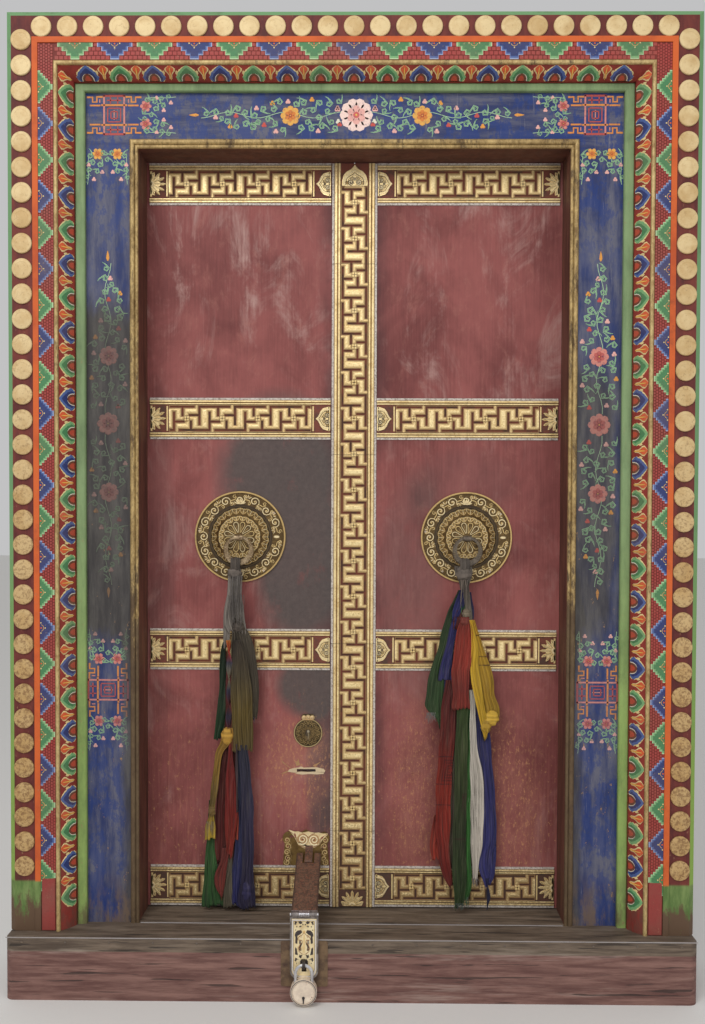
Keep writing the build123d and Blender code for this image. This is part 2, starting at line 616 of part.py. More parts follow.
def scarf_sets():
    """The cloth on each ring: a bunch below the ring, a middle and two tails.

    Points are (sideways from the ring's axis, down from the bunch's top); the last
    row of a tail goes down to just above the threshold.
    """
    top = SCARF_PIVOT_Z - RING_FOOT / 2 - SCARF_HANG_GAP
    hem = top - LEAF_BOTTOM - 2
    gap = SCARF_GAP
    left = (((-23, 0), (13, 0), (27, 161), (-43, 161)),
            ((-43, 161 + gap), (27, 161 + gap), (64, 523), (-71, 523), (-71, 227)),
            ((-71, 523 + gap), (-46, 523 + gap), (-46, hem - 8), (-99, hem - 8), (-92, 543)),
            ((-46 + gap, 523 + gap), (63, 523 + gap), (49, hem), (-39, hem)))
    right = (((-23, 0), (13, 0), (16, 93), (-37, 93)),
             ((-39, 93 + gap), (17, 93 + gap), (88, 463), (-89, 463), (-123, 383), (-117, 303)),
             ((-97, 463 + gap), (21, 463 + gap), (17, hem), (-39, hem), (-47, hem - 108), (-97, hem - 108)),
             ((21 + gap, 463 + gap), (87, 463 + gap), (83, hem - 10), (21 + gap, hem - 10)))
    sets = []
    for side, outlines in ((-1, left), (1, right)):
        sets.append([scarf([(side * BOSS_X + across, top - down) for across, down in outline])
                     for outline in outlines])
    return sets


def key_plate():
    """A dished round plate with a tab above it and a hole for the key."""
    rim = KEY_PLATE_RADIUS
    rim_width, stand = KEY_PLATE_RIM
    section = make_face(Polyline(
        (KEY_HOLE_RADIUS, 0), (rim, 0), (rim, -stand), (rim - rim_width, -stand),
        (KEY_HOLE_RADIUS, -KEY_PLATE_DISH), close=True))
    width, height = KEY_TAB
    tab = upright(Pos(0, rim + height / 2 - stand) * Rectangle(width, height), 0, stand)
    tab = chamfer(tab.edges().filter_by(Axis.Y).group_by(Axis.Z)[-1], 5)
    return Pos(KEY_PLATE_X, 0, KEY_PLATE_Z) * (revolve(section, Axis.Y) + tab)


def eyelet(wide, tall):
    """A six-sided hole of the given half-width and half-height."""
    return make_face(Polyline(
        (0, -tall), (wide, -tall * 0.4), (wide * 0.8, tall * 0.5), (0, tall), (-wide * 0.8, tall * 0.5),
        (-wide, -tall * 0.4), close=True))


def cloud_plate():
    """A pierced sheet on the leaf above the lowest band, with scrolled shoulders."""
    width, height, thickness = CLOUD_PLATE
    half = width / 2
    low = BAND_CENTRES[0] + BAND_HEIGHT / 2 + 0.5
    edges = [Line((-half, 0), (half, 0))]
    for side in (-1, 1):
        waist, bulge, brow, dip = [(side * half * x, height * z) for x, z in CLOUD_PLATE_SHOULDERS]
        edges += [Line((side * half, 0), waist), ThreePointArc(waist, bulge, brow),
                  ThreePointArc(brow, dip, (0, height))]
    outline = closed_face(*edges)
    holes = Sketch() + [
        Pos(side * half * across, height * up) * eyelet(wide, tall)
        for side in (-1, 1) for across, up, wide, tall in CLOUD_PLATE_HOLES]
    sheet = upright(outline - holes, 0, thickness)
    return Pos(CLOUD_PLATE_X, 0, low) * sheet


def leaf_hook():
    """A foot on the cloud plate and a tongue from it that lies in the strap's notch."""
    half = HOOK_WIDTH / 2
    back = -CLOUD_PLATE[2]
    depth, height = HOOK_FOOT
    low = SILL_TOP + STRAP_HEAD_RISE - height / 4
    foot = block(LOCK_X - half, LOCK_X + half, back - depth, back, low, low + height)
    tip = STRAP_REACH - STRAP_NOTCH[1] + HOOK_LIP_GAP
    root = STRAP_REACH + (STRAP_HEAD_GAP - depth / 6) * STRAP_REACH / STRAP_RUN
    under = HOOK_PROUD - HOOK_THICKNESS / 2
    over = under + HOOK_THICKNESS
    outline = make_face(Polyline(
        (tip, under - HOOK_LIP), (tip + HOOK_THICKNESS, under - HOOK_LIP), (tip + HOOK_THICKNESS, under),
        (root, under), (root, over), (tip + HOOK_THICKNESS / 2, over), (tip, over - HOOK_THICKNESS / 2),
        close=True))
    side = Plane(origin=(LOCK_X, KNUCKLE_Y, KNUCKLE_Z), z_dir=(1, 0, 0),
                 x_dir=(0, STRAP_RUN / STRAP_REACH, STRAP_RISE / STRAP_REACH))
    return foot + extrude(side * outline, amount=half, both=True)


def strap():
    """The iron strap: a knuckle at its foot, an open notch in its head, leaning on the leaf."""
    half = STRAP_WIDTH / 2
    notch_width, notch_depth = STRAP_NOTCH
    plate = Pos(STRAP_REACH / 2, 0) * Rectangle(STRAP_REACH, STRAP_WIDTH)
    plate = fillet(plate.vertices().group_by(Axis.X)[-1], STRAP_HEAD_ROUND)
    shapes = plate - Pos(STRAP_REACH, 0) * Rectangle(2 * notch_depth, notch_width)
    relief = STRAP_WIDTH / 2 - KNUCKLE_MIDDLE / 2
    for side in (-1, 1):
        place = side * (KNUCKLE_MIDDLE / 2 + relief / 2)
        clear = KNUCKLE_RADIUS + 2
        shapes = shapes - Pos(clear / 2, place) * Rectangle(clear, relief + 0.2)
    lean = Plane(origin=(LOCK_X, KNUCKLE_Y, KNUCKLE_Z),
                 x_dir=(0, STRAP_RUN / STRAP_REACH, STRAP_RISE / STRAP_REACH),
                 z_dir=(0, -STRAP_RISE / STRAP_REACH, STRAP_RUN / STRAP_REACH))
    body = extrude(lean * shapes, amount=STRAP_THICKNESS / 2, both=True)
    middle = KNUCKLE_MIDDLE / 2
    body = body + rod_x(LOCK_X - middle, LOCK_X + middle, KNUCKLE_Y, KNUCKLE_Z, KNUCKLE_RADIUS)
    body = body - rod_x(LOCK_X - half, LOCK_X + half, KNUCKLE_Y, KNUCKLE_Z, KNUCKLE_PIN_RADIUS + PIN_FIT)
    return body


def hasp_outline(width, height):
    """A long plate with a rounded foot, drawn downwards from its top edge."""
    shape = Pos(0, -height / 2) * Rectangle(width, height)
    return fillet(shape.vertices().group_by(Axis.Y)[0], width * HASP_FOOT_ROUND)


def hasp():
    """The hasp plate with two knuckles, its pierced face, the knuckle pin and the staple."""
    width, height, thickness = HASP_PLATE
    slot_width, slot_drop, slot_room = HASP_SLOT
    slot_low = STAPLE_Z - STAPLE_RADIUS - slot_drop
    slot_high = STAPLE_Z + STAPLE_RADIUS + slot_room
    slot = Pos(LOCK_X, (slot_low + slot_high) / 2) * Rectangle(slot_width, slot_high - slot_low)
    back = KNUCKLE_Y + thickness / 2
    plate = upright(Pos(LOCK_X, HASP_TOP) * hasp_outline(width, height) - slot, back, thickness)
    inner = KNUCKLE_MIDDLE / 2 + KNUCKLE_GAP
    outer = STRAP_WIDTH / 2
    for side in (-1, 1):
        near, far = sorted((LOCK_X + side * inner, LOCK_X + side * outer))
        plate = plate + rod_x(near, far, KNUCKLE_Y, KNUCKLE_Z, KNUCKLE_RADIUS)
    gap = KNUCKLE_RADIUS + 1
    plate = plate - block(LOCK_X - inner, LOCK_X + inner, back - thickness - 1, back + 1,
                          KNUCKLE_Z - gap, KNUCKLE_Z)
    plate = plate - rod_x(LOCK_X - outer - 1, LOCK_X + outer + 1, KNUCKLE_Y, KNUCKLE_Z, KNUCKLE_PIN_RADIUS)
    face_width, face_height, face_thickness = HASP_FACE
    face = hasp_outline(face_width, face_height)
    holes = Sketch() + [
        Pos(side * across, -down) * eyelet(wide, tall)
        for side in (-1, 1) for across, down, wide, tall in HASP_FACE_HOLES]
    face = Pos(LOCK_X, HASP_TOP - (height - face_height) / 2) * (face - holes)
    face = upright(face - slot, back - thickness, face_thickness)
    pin = rod_x(LOCK_X - outer, LOCK_X + outer, KNUCKLE_Y, KNUCKLE_Z, KNUCKLE_PIN_RADIUS)
    head_length, head_rim = HINGE_PIN_HEAD
    for side in (-1, 1):
        near, far = sorted((LOCK_X + side * outer, LOCK_X + side * (outer + head_length)))
        pin = pin + rod_x(near, far, KNUCKLE_Y, KNUCKLE_Z, KNUCKLE_PIN_RADIUS + head_rim)
    plate_width, plate_height, plate_thickness = THRESHOLD_PLATE
    ground = Pos(LOCK_X, SILL_TOP - plate_height / 2 - PLANK_ROUND) * Rectangle(plate_width, plate_height)
    ground = fillet(ground.vertices(), THRESHOLD_PLATE_ROUND)
    ground = upright(ground, THRESHOLD_FACE, plate_thickness)
    side_width = STAPLE_WIDTH / 2
    root = THRESHOLD_FACE + STAPLE_ROOT
    left, right = LOCK_X - side_width, LOCK_X + side_width
    foot, head = STAPLE_Z - STAPLE_RADIUS * 0.7, STAPLE_Z + STAPLE_RADIUS
    eye = rod_x(left, right, STAPLE_Y, STAPLE_Z, STAPLE_RADIUS)
    eye = eye + block(left, right, STAPLE_Y, root, foot, head)
    eye = eye - rod_x(left - 1, right + 1, STAPLE_Y, STAPLE_Z, SHACKLE_ROD + SHACKLE_FIT)
    socket = block(left, right, THRESHOLD_FACE - STAPLE_EDGE, root, foot, head)
    parts = {"hasp_plate": plate, "hasp_face": face, "hasp_hinge_pin": pin,
             "threshold_plate": ground - socket, "lock_staple": eye}
    return parts, socket


def shackle_section():
    """The forged bar of the shackle, with eight flats."""
    return Rot(0, 0, 22.5) * RegularPolygon(SHACKLE_ROD, 8)


def shackle():
    """A round bar bent to a bow; its right leg ends at the rivet inside the padlock."""
    left_x = LOCK_X - SHACKLE_RADIUS
    right_x = LOCK_X + SHACKLE_RADIUS
    section = Plane(origin=(left_x, STAPLE_Y, SHACKLE_Z), z_dir=(0, 0, 1)) * shackle_section()
    turn = Axis((LOCK_X, STAPLE_Y, SHACKLE_Z), (0, 1, 0))
    body = revolve(section, turn, 180)
    for x, low in ((left_x, PADLOCK_PIVOT_Z - 6), (right_x, PADLOCK_PIVOT_Z)):
        leg = Pos(x, STAPLE_Y, low) * shackle_section()
        body = body + extrude(leg, amount=SHACKLE_Z - low)
    eye = SHACKLE_ROD - 1
    body = body + rod_y(right_x, STAPLE_Y - eye, STAPLE_Y + eye, PADLOCK_PIVOT_Z, SHACKLE_ROD + 0.4)
    bore = PADLOCK_PIN_RADIUS + PIN_FIT
    return body - rod_y(right_x, STAPLE_Y - 2 * eye, STAPLE_Y + 2 * eye, PADLOCK_PIVOT_Z, bore)


def padlock():
    """A round case with a raised rim, a keyhole and a curved way for the free leg."""
    half = PADLOCK_THICKNESS / 2
    radius = PADLOCK_RADIUS
    rim = PADLOCK_RIM
    section = make_face(Polyline(
        (0, -half + PADLOCK_DISH), (radius - rim, -half + PADLOCK_DISH), (radius - rim, -half),
        (radius, -half), (radius, half), (0, half), close=True))
    case = revolve(section, Axis.Y)
    pivot = (SHACKLE_RADIUS, PADLOCK_PIVOT_RISE)
    wide = SHACKLE_ROD + PADLOCK_WAY_FIT
    span = 2 * SHACKLE_RADIUS
    reach = 3 * radius
    outer = Circle(hypot(span + wide, 8)) - Circle(span - wide - 1.2)
    low_angle = radians(180 + degrees(atan2(6.8, span)))
    high_angle = radians(90)
    wedge = make_face(Polyline(
        (0, 0), (reach * cos(low_angle), reach * sin(low_angle)), (-reach, reach),
        (reach * cos(high_angle), reach * sin(high_angle)), close=True))
    way = outer & wedge
    swing = radians(PADLOCK_OPEN + 4)
    far_side = (wide + reach * sin(swing), reach * cos(swing))
    fan = make_face(Polyline((-wide, 0), (wide, 0), far_side, (-wide, reach), close=True))
    room = Pos(*pivot) * (way + fan + Circle(wide))
    case = case - upright(room, wide, 2 * wide)
    case = case + rod_y(pivot[0], -half, half, pivot[1], PADLOCK_PIN_RADIUS)
    key_radius, key_drop, bit_width, bit_length = KEYHOLE
    keyhole = Pos(0, -key_drop) * Circle(key_radius)
    keyhole = keyhole + Pos(0, -key_drop - bit_length / 2) * Rectangle(bit_width, bit_length)
    case = case - upright(keyhole, 0, half + 1)
    return Pos(LOCK_X, STAPLE_Y, PADLOCK_Z) * case


def leaves():
    """Both leaves with everything fixed to them."""
    parts = {}
    for name, solids in leaf_boards().items():
        parts[f"right_{name}"] = solids
        parts[f"left_{name}"] = [solid.mirror(Plane.YZ) for solid in solids]
    slot_width, slot_height = SLOT_SIZE
    plank = parts["left_closing_plank"][0]
    slot = block(SLOT_X - slot_width / 2, SLOT_X + slot_width / 2, -1, LEAF_THICKNESS + 1,
                 SLOT_Z - slot_height / 2, SLOT_Z + slot_height / 2)
    key_way = rod_y(KEY_PLATE_X, -1, LEAF_THICKNESS + 1, KEY_PLATE_Z, KEY_HOLE_RADIUS)
    parts["left_closing_plank"] = [plank - slot - key_way]
    disc = boss()
    knob = ring_knob()
    ring = pull_ring()
    bolt_hole = rod_y(0, -1, LEAF_THICKNESS * BOLT_SHARE, 0, KNOB_NECK)
    for name, side in (("left", -1), ("right", 1)):
        place = Pos(side * BOSS_X, 0, BOSS_Z)
        parts[f"{name}_boss"] = [place * disc]
        parts[f"{name}_ring_knob"] = [place * knob]
        parts[f"{name}_pull_ring"] = [place * ring]
        plank = parts[f"{name}_middle_plank"][0]
        parts[f"{name}_middle_plank"] = [plank - place * bolt_hole]
        parts[f"{name}_fret_bands"] = band_set(side)
    left_scarves, right_scarves = scarf_sets()
    parts["left_scarves"] = left_scarves
    parts["right_scarves"] = right_scarves
    parts["astragal"] = [astragal()]
    parts["key_plate"] = [key_plate()]
    parts["cloud_plate"] = [cloud_plate()]
    parts["leaf_hook"] = [leaf_hook()]
    return parts


def build():
    """Every piece of the door by name, each as a list of solids."""
    frame, offset = frame_members()
    half_width = HALF_OPENING + offset[0]
    parts = dict(frame)
    parts.update(threshold(half_width))
    parts.update(pivot_seats())
    lock, socket = hasp()
    parts.update(lock)
    parts["threshold_beam"] = parts["threshold_beam"] - socket
    parts["hasp_strap"] = strap()
    parts["shackle"] = shackle()
    parts["padlock_case"] = padlock()
    parts = {name: [shape] for name, shape in parts.items()}
    parts.update(leaves())
    return parts


def write(parts):
    """One file for each named piece."""
    os.makedirs("parts", exist_ok=True)
    for name, shapes in parts.items():
        solids = [solid for shape in shapes for solid in shape.solids()]
        whole = solids[0] if len(solids) == 1 else Compound(children=solids)
        whole.label = name
        export_step(whole, f"parts/{name}.step")


write(build())
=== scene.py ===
import json
import math
import random

import bmesh
import bpy
from mathutils import Matrix, Vector


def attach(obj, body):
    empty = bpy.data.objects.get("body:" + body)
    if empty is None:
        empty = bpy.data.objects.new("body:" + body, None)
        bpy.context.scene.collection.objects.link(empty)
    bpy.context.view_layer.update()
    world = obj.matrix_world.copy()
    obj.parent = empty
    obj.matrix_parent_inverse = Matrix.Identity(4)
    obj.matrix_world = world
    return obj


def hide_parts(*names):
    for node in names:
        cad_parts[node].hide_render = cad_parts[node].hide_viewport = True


# A carved and painted temple door. Lengths are millimetres unless a name or a comment
# says otherwise; MM turns them into metres. "Left" and "right" are as seen from the front.
MM = 0.001

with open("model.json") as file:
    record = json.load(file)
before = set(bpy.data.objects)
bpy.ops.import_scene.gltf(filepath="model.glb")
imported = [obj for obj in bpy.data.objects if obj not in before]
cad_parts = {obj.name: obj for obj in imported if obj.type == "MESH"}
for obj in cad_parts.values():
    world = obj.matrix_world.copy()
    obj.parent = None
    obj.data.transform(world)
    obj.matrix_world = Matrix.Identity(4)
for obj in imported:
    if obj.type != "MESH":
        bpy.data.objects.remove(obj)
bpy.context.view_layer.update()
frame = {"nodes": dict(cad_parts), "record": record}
NODES = frame["nodes"]


# Camera, fitted to the photograph

CAMERA_PLACE = (42.84, -3177.3, 1336.64)
CAMERA_YAW = 0.01135
CAMERA_PITCH = 0.028
CAMERA_ROLL = 0.00375
PHOTO_WIDTH = 705
PHOTO_HEIGHT = 1024
FOCAL_PIXELS = 1091.1
PRINCIPAL_POINT = (355.5, 543.4)
SENSOR = 36.0


def camera_axes():
    """The directions to the camera's right, upwards and ahead of it."""
    cos_yaw, sin_yaw = math.cos(CAMERA_YAW), math.sin(CAMERA_YAW)
    cos_pitch, sin_pitch = math.cos(CAMERA_PITCH), math.sin(CAMERA_PITCH)
    cos_roll, sin_roll = math.cos(CAMERA_ROLL), math.sin(CAMERA_ROLL)
    level = (cos_yaw, sin_yaw, 0)
    above = (-sin_yaw * sin_pitch, cos_yaw * sin_pitch, cos_pitch)
    right = [cos_roll * a + sin_roll * b for a, b in zip(level, above)]
    up = [cos_roll * b - sin_roll * a for a, b in zip(level, above)]
    return right, up, (-sin_yaw * cos_pitch, cos_yaw * cos_pitch, -sin_pitch)


RIGHT, UP, AHEAD = camera_axes()


def seen_at(u, v, depth):
    """The x and z, in whole millimetres, of a point at y = depth that the photo shows at pixel (u, v)."""
    across, down = (u - PRINCIPAL_POINT[0]) / FOCAL_PIXELS, (v - PRINCIPAL_POINT[1]) / FOCAL_PIXELS
    ray = [ahead + right * across - up * down for right, up, ahead in zip(RIGHT, UP, AHEAD)]
    far = (depth - CAMERA_PLACE[1]) / ray[1]
    return [round(round(CAMERA_PLACE[axis] + far * ray[axis], 1)) for axis in (0, 2)]


def add_camera():
    """The camera of the photograph."""
    data = bpy.data.cameras.new("photo_camera")
    data.sensor_fit = "AUTO"
    data.sensor_width = SENSOR
    data.lens = FOCAL_PIXELS * SENSOR / PHOTO_HEIGHT
    data.shift_x = (PHOTO_WIDTH / 2 - PRINCIPAL_POINT[0]) / PHOTO_HEIGHT
    data.shift_y = (PRINCIPAL_POINT[1] - PHOTO_HEIGHT / 2) / PHOTO_HEIGHT
    camera = bpy.data.objects.new("photo_camera", data)
    bpy.context.scene.collection.objects.link(camera)
    turn = Matrix((RIGHT, UP, [-part for part in AHEAD])).transposed()
    camera.matrix_world = Matrix.Translation(Vector(CAMERA_PLACE) * MM) @ turn.to_4x4()
    bpy.context.scene.camera = camera


add_camera()


# Shader maths

def rgb(red, green, blue):
    """A colour as a screen shows it, from 0 to 255, turned into scene values."""
    shares = [part / 255 for part in (red, green, blue)]
    return (*(s / 12.92 if s <= 0.04045 else ((s + 0.055) / 1.055) ** 2.4 for s in shares), 1.0)


def scene_colour(given):
    """A socket as it is; a written (red, green, blue) as scene values."""
    return rgb(*given) if isinstance(given, tuple) else given


def operator(operation, turned=False):
    """An arithmetic operator that adds one Math node; turned swaps its two values."""
    def apply(self, other=0.0):
        return self.combine(operation, other, self) if turned else self.combine(operation, self, other)
    return apply


class Value:
    """A number that varies over a surface; arithmetic on it adds Math nodes."""

    def __init__(self, finish, socket):
        self.finish = finish
        self.socket = socket

    def combine(self, operation, first, second=0.0):
        return self.finish.node("ShaderNodeMath", {"operation": operation}, {0: first, 1: second}).value(0)

    __add__, __radd__ = operator("ADD"), operator("ADD", True)
    __sub__, __rsub__ = operator("SUBTRACT"), operator("SUBTRACT", True)
    __mul__, __rmul__ = operator("MULTIPLY"), operator("MULTIPLY", True)
    __truediv__, __abs__ = operator("DIVIDE"), operator("ABSOLUTE")
    most, least = operator("MAXIMUM"), operator("MINIMUM")
    repeat = operator("FLOORED_MODULO")

    def step(self, low, high):
        """0 below low, 1 above high, smooth between; low above high turns it round."""
        if low > high:
            return 1 - self.step(high, low)
        settings = {"interpolation_type": "SMOOTHSTEP", "clamp": True}
        sockets = {"Value": self, "From Min": low, "From Max": high}
        return self.finish.node("ShaderNodeMapRange", settings, sockets).value("Result")

    def between(self, low, high, soft):
        """1 between low and high, fading to 0 over soft on both sides."""
        return self.step(low - soft, low) * self.step(high + soft, high)


class Added:
    """A node just added, and its outputs as sockets or as values."""

    def __init__(self, finish, node):
        self.finish = finish
        self.node = node

    def socket(self, name):
        return self.node.outputs[name]

    def value(self, name):
        return Value(self.finish, self.node.outputs[name])


class Finish:
    """A procedural material. Positions are metres in the object's own coordinates."""

    def __init__(self, name, source="Object"):
        self.material = bpy.data.materials.new(name)
        self.material.use_nodes = True
        self.tree = self.material.node_tree
        self.shader = self.tree.nodes["Principled BSDF"]
        self.place = self.node("ShaderNodeTexCoord").socket(source)
        axes = self.node("ShaderNodeSeparateXYZ", {}, {"Vector": self.place})
        self.x, self.y, self.z = (axes.value(axis) for axis in "XYZ")

    def fill(self, socket, given):
        """Sets a socket to a number or a colour, or links it."""
        given = given.socket if isinstance(given, Value) else given
        if isinstance(given, bpy.types.NodeSocket):
            self.tree.links.new(given, socket)
        else:
            socket.default_value = given

    def node(self, kind, settings=None, sockets=None):
        """Adds one node: its settings first, then the values or links of its sockets."""
        made = self.tree.nodes.new(kind)
        for key, setting in (settings or {}).items():
            setattr(made, key, setting)
        for key, given in (sockets or {}).items():
            if isinstance(key, str) or key < len(made.inputs):
                self.fill(made.inputs[key], given)
        return Added(self, made)

    def stretched(self, stretch):
        """The position scaled by stretch along X, Y and Z."""
        sockets = {"Vector": self.place, "Scale": stretch}
        return self.node("ShaderNodeMapping", {"vector_type": "POINT"}, sockets).socket("Vector")

    def noise(self, scale, detail=3.0, rough=0.55, stretch=(1, 1, 1), twist=0.0):
        """Fractal noise from 0 to 1 with about scale blobs a metre."""
        sockets = {"Vector": self.stretched(stretch), "Scale": scale, "Detail": detail,
                   "Roughness": rough, "Distortion": twist}
        return self.node("ShaderNodeTexNoise", {}, sockets).value(0)

    def written(self):
        """The colour that is written on the mesh."""
        return self.node("ShaderNodeVertexColor", {"layer_name": PAINT}).socket("Color")

    def mix(self, share, first, second):
        """A colour between first and second."""
        settings = {"data_type": "RGBA", "clamp_factor": True}
        sockets = {0: share, 6: scene_colour(first), 7: scene_colour(second)}
        return self.node("ShaderNodeMix", settings, sockets).socket(2)

    def ground(self, share, first, second):
        """The first layer of colour."""
        self.colour = self.mix(share, first, second)

    def coat(self, share, colour):
        """One more colour over what is there."""
        self.colour = self.mix(share, self.colour, colour)

    def blob(self, x, z, wide, high):
        """1 at the middle of an upright oval patch on the front, fading out to 0 at its edge."""
        across = (self.x - x * MM) / (wide * MM)
        up = (self.z - z * MM) / (high * MM)
        return (across * across + up * up).step(1.0, 0.15)

    def finish(self, rough=0.6, metallic=0.0, height=None, depth=0.001, strength=0.6, gloss=0.5):
        """Joins colour, roughness and bump to the shader; height is in metres times depth."""
        self.shader.inputs["Specular IOR Level"].default_value = gloss
        for name, given in (("Base Color", self.colour), ("Roughness", rough), ("Metallic", metallic)):
            self.fill(self.shader.inputs[name], given)
        if height is not None:
            sockets = {"Height": height, "Distance": depth, "Strength": strength}
            bump = self.node("ShaderNodeBump", {}, sockets).socket("Normal")
            self.tree.links.new(bump, self.shader.inputs["Normal"])
        return self.material


# Places that several sections share; the frame's boxes give those that they can

def box_side(name, end, axis):
    """One side of a CAD node's box in millimetres; end is min or max, axis 0 to 2 is X to Z."""
    node = NODES[name]
    return round(end((node.matrix_world @ Vector(corner))[axis] for corner in node.bound_box) / MM, 2)


def middle(name, axis):
    """The middle of a CAD node's box along one axis, in millimetres."""
    return (box_side(name, min, axis) + box_side(name, max, axis)) / 2


HALF_OPENING = box_side("right_jamb_post", min, 0)
HEAD_BOTTOM = box_side("lintel", min, 2)
BOARD_FACE = box_side("lintel", min, 1)
CARVED_FACE = box_side("stepped_board_top", min, 1)
DISC_BOARD_EDGE = box_side("disc_board_right", min, 0)
DISC_BOARD_FOOT = box_side("disc_board_top", min, 2)
THRESHOLD_FACE = box_side("threshold_outer_plank", min, 1)
SILL_TOP = box_side("threshold_outer_plank", max, 2)
BOSS_X = middle("right_boss", 0)
BOSS_Z = middle("right_boss", 2)
BOSS_FRONT = box_side("right_boss", min, 1)
HASP_X = middle("hasp_face", 0)
BAND_END = box_side("right_fret_bands", max, 0)
BAND_HEIGHTS = (241.0, 937.0, 1609.0, 2284.0)
FRET_CENTRES = (107.25, 210.75, 314.25, 417.75)
FRET_PERIOD = FRET_CENTRES[1] - FRET_CENTRES[0]
ASTRAGAL_X = 1.0
ASTRAGAL_TOP_FRET = 2231.5
LEAVES = ((-1, "left"), (1, "right"))
PAINT = "Paint"


# Finishes

def leaf_paint():
    """Maroon paint, rubbed pale in clouds, darkened by hands and smoke, worn to wood low down."""
    f = Finish("leaf_paint")
    hair = f.noise(170, 3, 0.6, (1, 1, 0.045))
    cloud = f.noise(3.4, 5, 0.6, (1.2, 1, 0.8), 0.5)
    fine = f.noise(190, 3, 0.7)
    f.ground((cloud + hair * 0.24).step(0.38, 0.8), (102, 50, 48), (146, 82, 78))
    rubbed = f.noise(4.2, 7, 0.7, (1.5, 1, 0.75), 1.1) + hair * 0.14
    reach = 0.35 + f.z.step(1.4, 1.9) * 0.55 + f.x.step(0.0, -0.3) * 0.15
    f.coat(rubbed.step(0.56, 0.86) * reach, (176, 142, 134))
    pale = f.noise(26, 6, 0.75, (1, 1, 0.5), 0.6).step(0.5, 0.75)
    f.coat(pale * 0.35, (168, 112, 100))
    edge_dark = abs(f.x).step(0.12, 0.066) * f.noise(5, 4, 0.6).step(0.3, 0.6)
    f.coat(edge_dark * 0.6, (58, 36, 38))
    soot = f.blob(-215, 1440, 230, 300) * 1.1 + f.blob(-150, 1160, 170, 260) * 1.1
    soot = soot + f.blob(-130, 830, 120, 120) * 1.1
    soot = soot + f.blob(170, 1120, 130, 420) * 0.45 + f.blob(-90, 560, 60, 300) * 0.7
    soot = soot + f.blob(330, 1420, 200, 150) * 0.3 + f.blob(-560, 1200, 60, 700) * 0.3
    ragged = f.noise(9, 6, 0.7, (1, 1, 0.8)) + hair * 0.2
    grey = f.mix(f.noise(60, 6, 0.8).step(0.3, 0.7), (72, 66, 64), (86, 78, 74))
    f.coat(((soot - 0.12) * (0.1 + ragged.step(0.26, 0.62) * 1.0)).most(0.0).least(0.92), grey)
    rubbed_low = f.blob(-160, 600, 120, 170) * 0.9 + f.blob(430, 480, 150, 330) * 0.7
    rubbed_low = rubbed_low + f.blob(190, 520, 100, 330) * 0.6
    haze = f.noise(7, 6, 0.75).step(0.35, 0.7)
    f.coat((rubbed_low * haze * 0.5).least(0.6), (166, 112, 92))
    scratch = f.noise(110, 7, 0.85, (1.2, 1, 0.5), 0.4).step(0.53, 0.62)
    f.coat((rubbed_low * scratch * 0.8).least(0.8), (204, 148, 98))
    low = f.z.step(1.0, 0.35)
    chips = f.noise(95, 5, 0.8, (1, 1, 0.55)).step(0.56, 0.68)
    f.coat(chips * low * 0.75, (190, 142, 96))
    streak = f.noise(30, 5, 0.7, (3, 1, 0.2)).step(0.52, 0.78)
    f.coat(streak * low * 0.6, (164, 106, 84))
    rough = 0.5 + rubbed * 0.12 + hair * 0.14
    relief = hair * 0.5 + fine * 0.3 + cloud * 0.3 - chips * low * 0.4
    return f.finish(rough, height=relief, depth=0.0012, strength=0.55, gloss=0.3)


def soot_on_posts(f):
    """Where hands and lamp smoke have blackened the blue posts, from 0 to 1."""
    side = abs(f.x)
    ragged = f.noise(6, 5, 0.65, (1.3, 1, 0.6)) * 0.9 + f.noise(34, 5, 0.7, (1.4, 1, 0.22)) * 0.55
    left = f.x.step(0.1, -0.1)
    long_patch = f.z.between(1.16, 1.72, 0.34)
    soot = (long_patch * 1.3 + ragged - 0.95).step(0.05, 0.62) * left
    short_patch = f.z.between(1.12, 1.62, 0.3) * (0.55 + 0.45 * side.step(0.742, 0.69))
    soot = soot + (short_patch * 1.05 + ragged - 0.98).step(0.1, 0.7) * (1 - left) * 0.85
    inner = side.step(0.69, 0.625) * f.z.step(1.5, 0.9)
    soot = soot + (inner + ragged - 1.1).step(0.1, 0.7) * 0.85
    return soot.least(1.0)


def in_doorway(f):
    """1 on the faces that look into the doorway, 0 elsewhere."""
    beside = abs(f.x).step(0.6025, 0.6012) * f.z.step(2.3478, 2.347)
    over = abs(f.x).step(0.602, 0.6005) * f.z.step(2.3474, 2.3466)
    return beside.most(over)


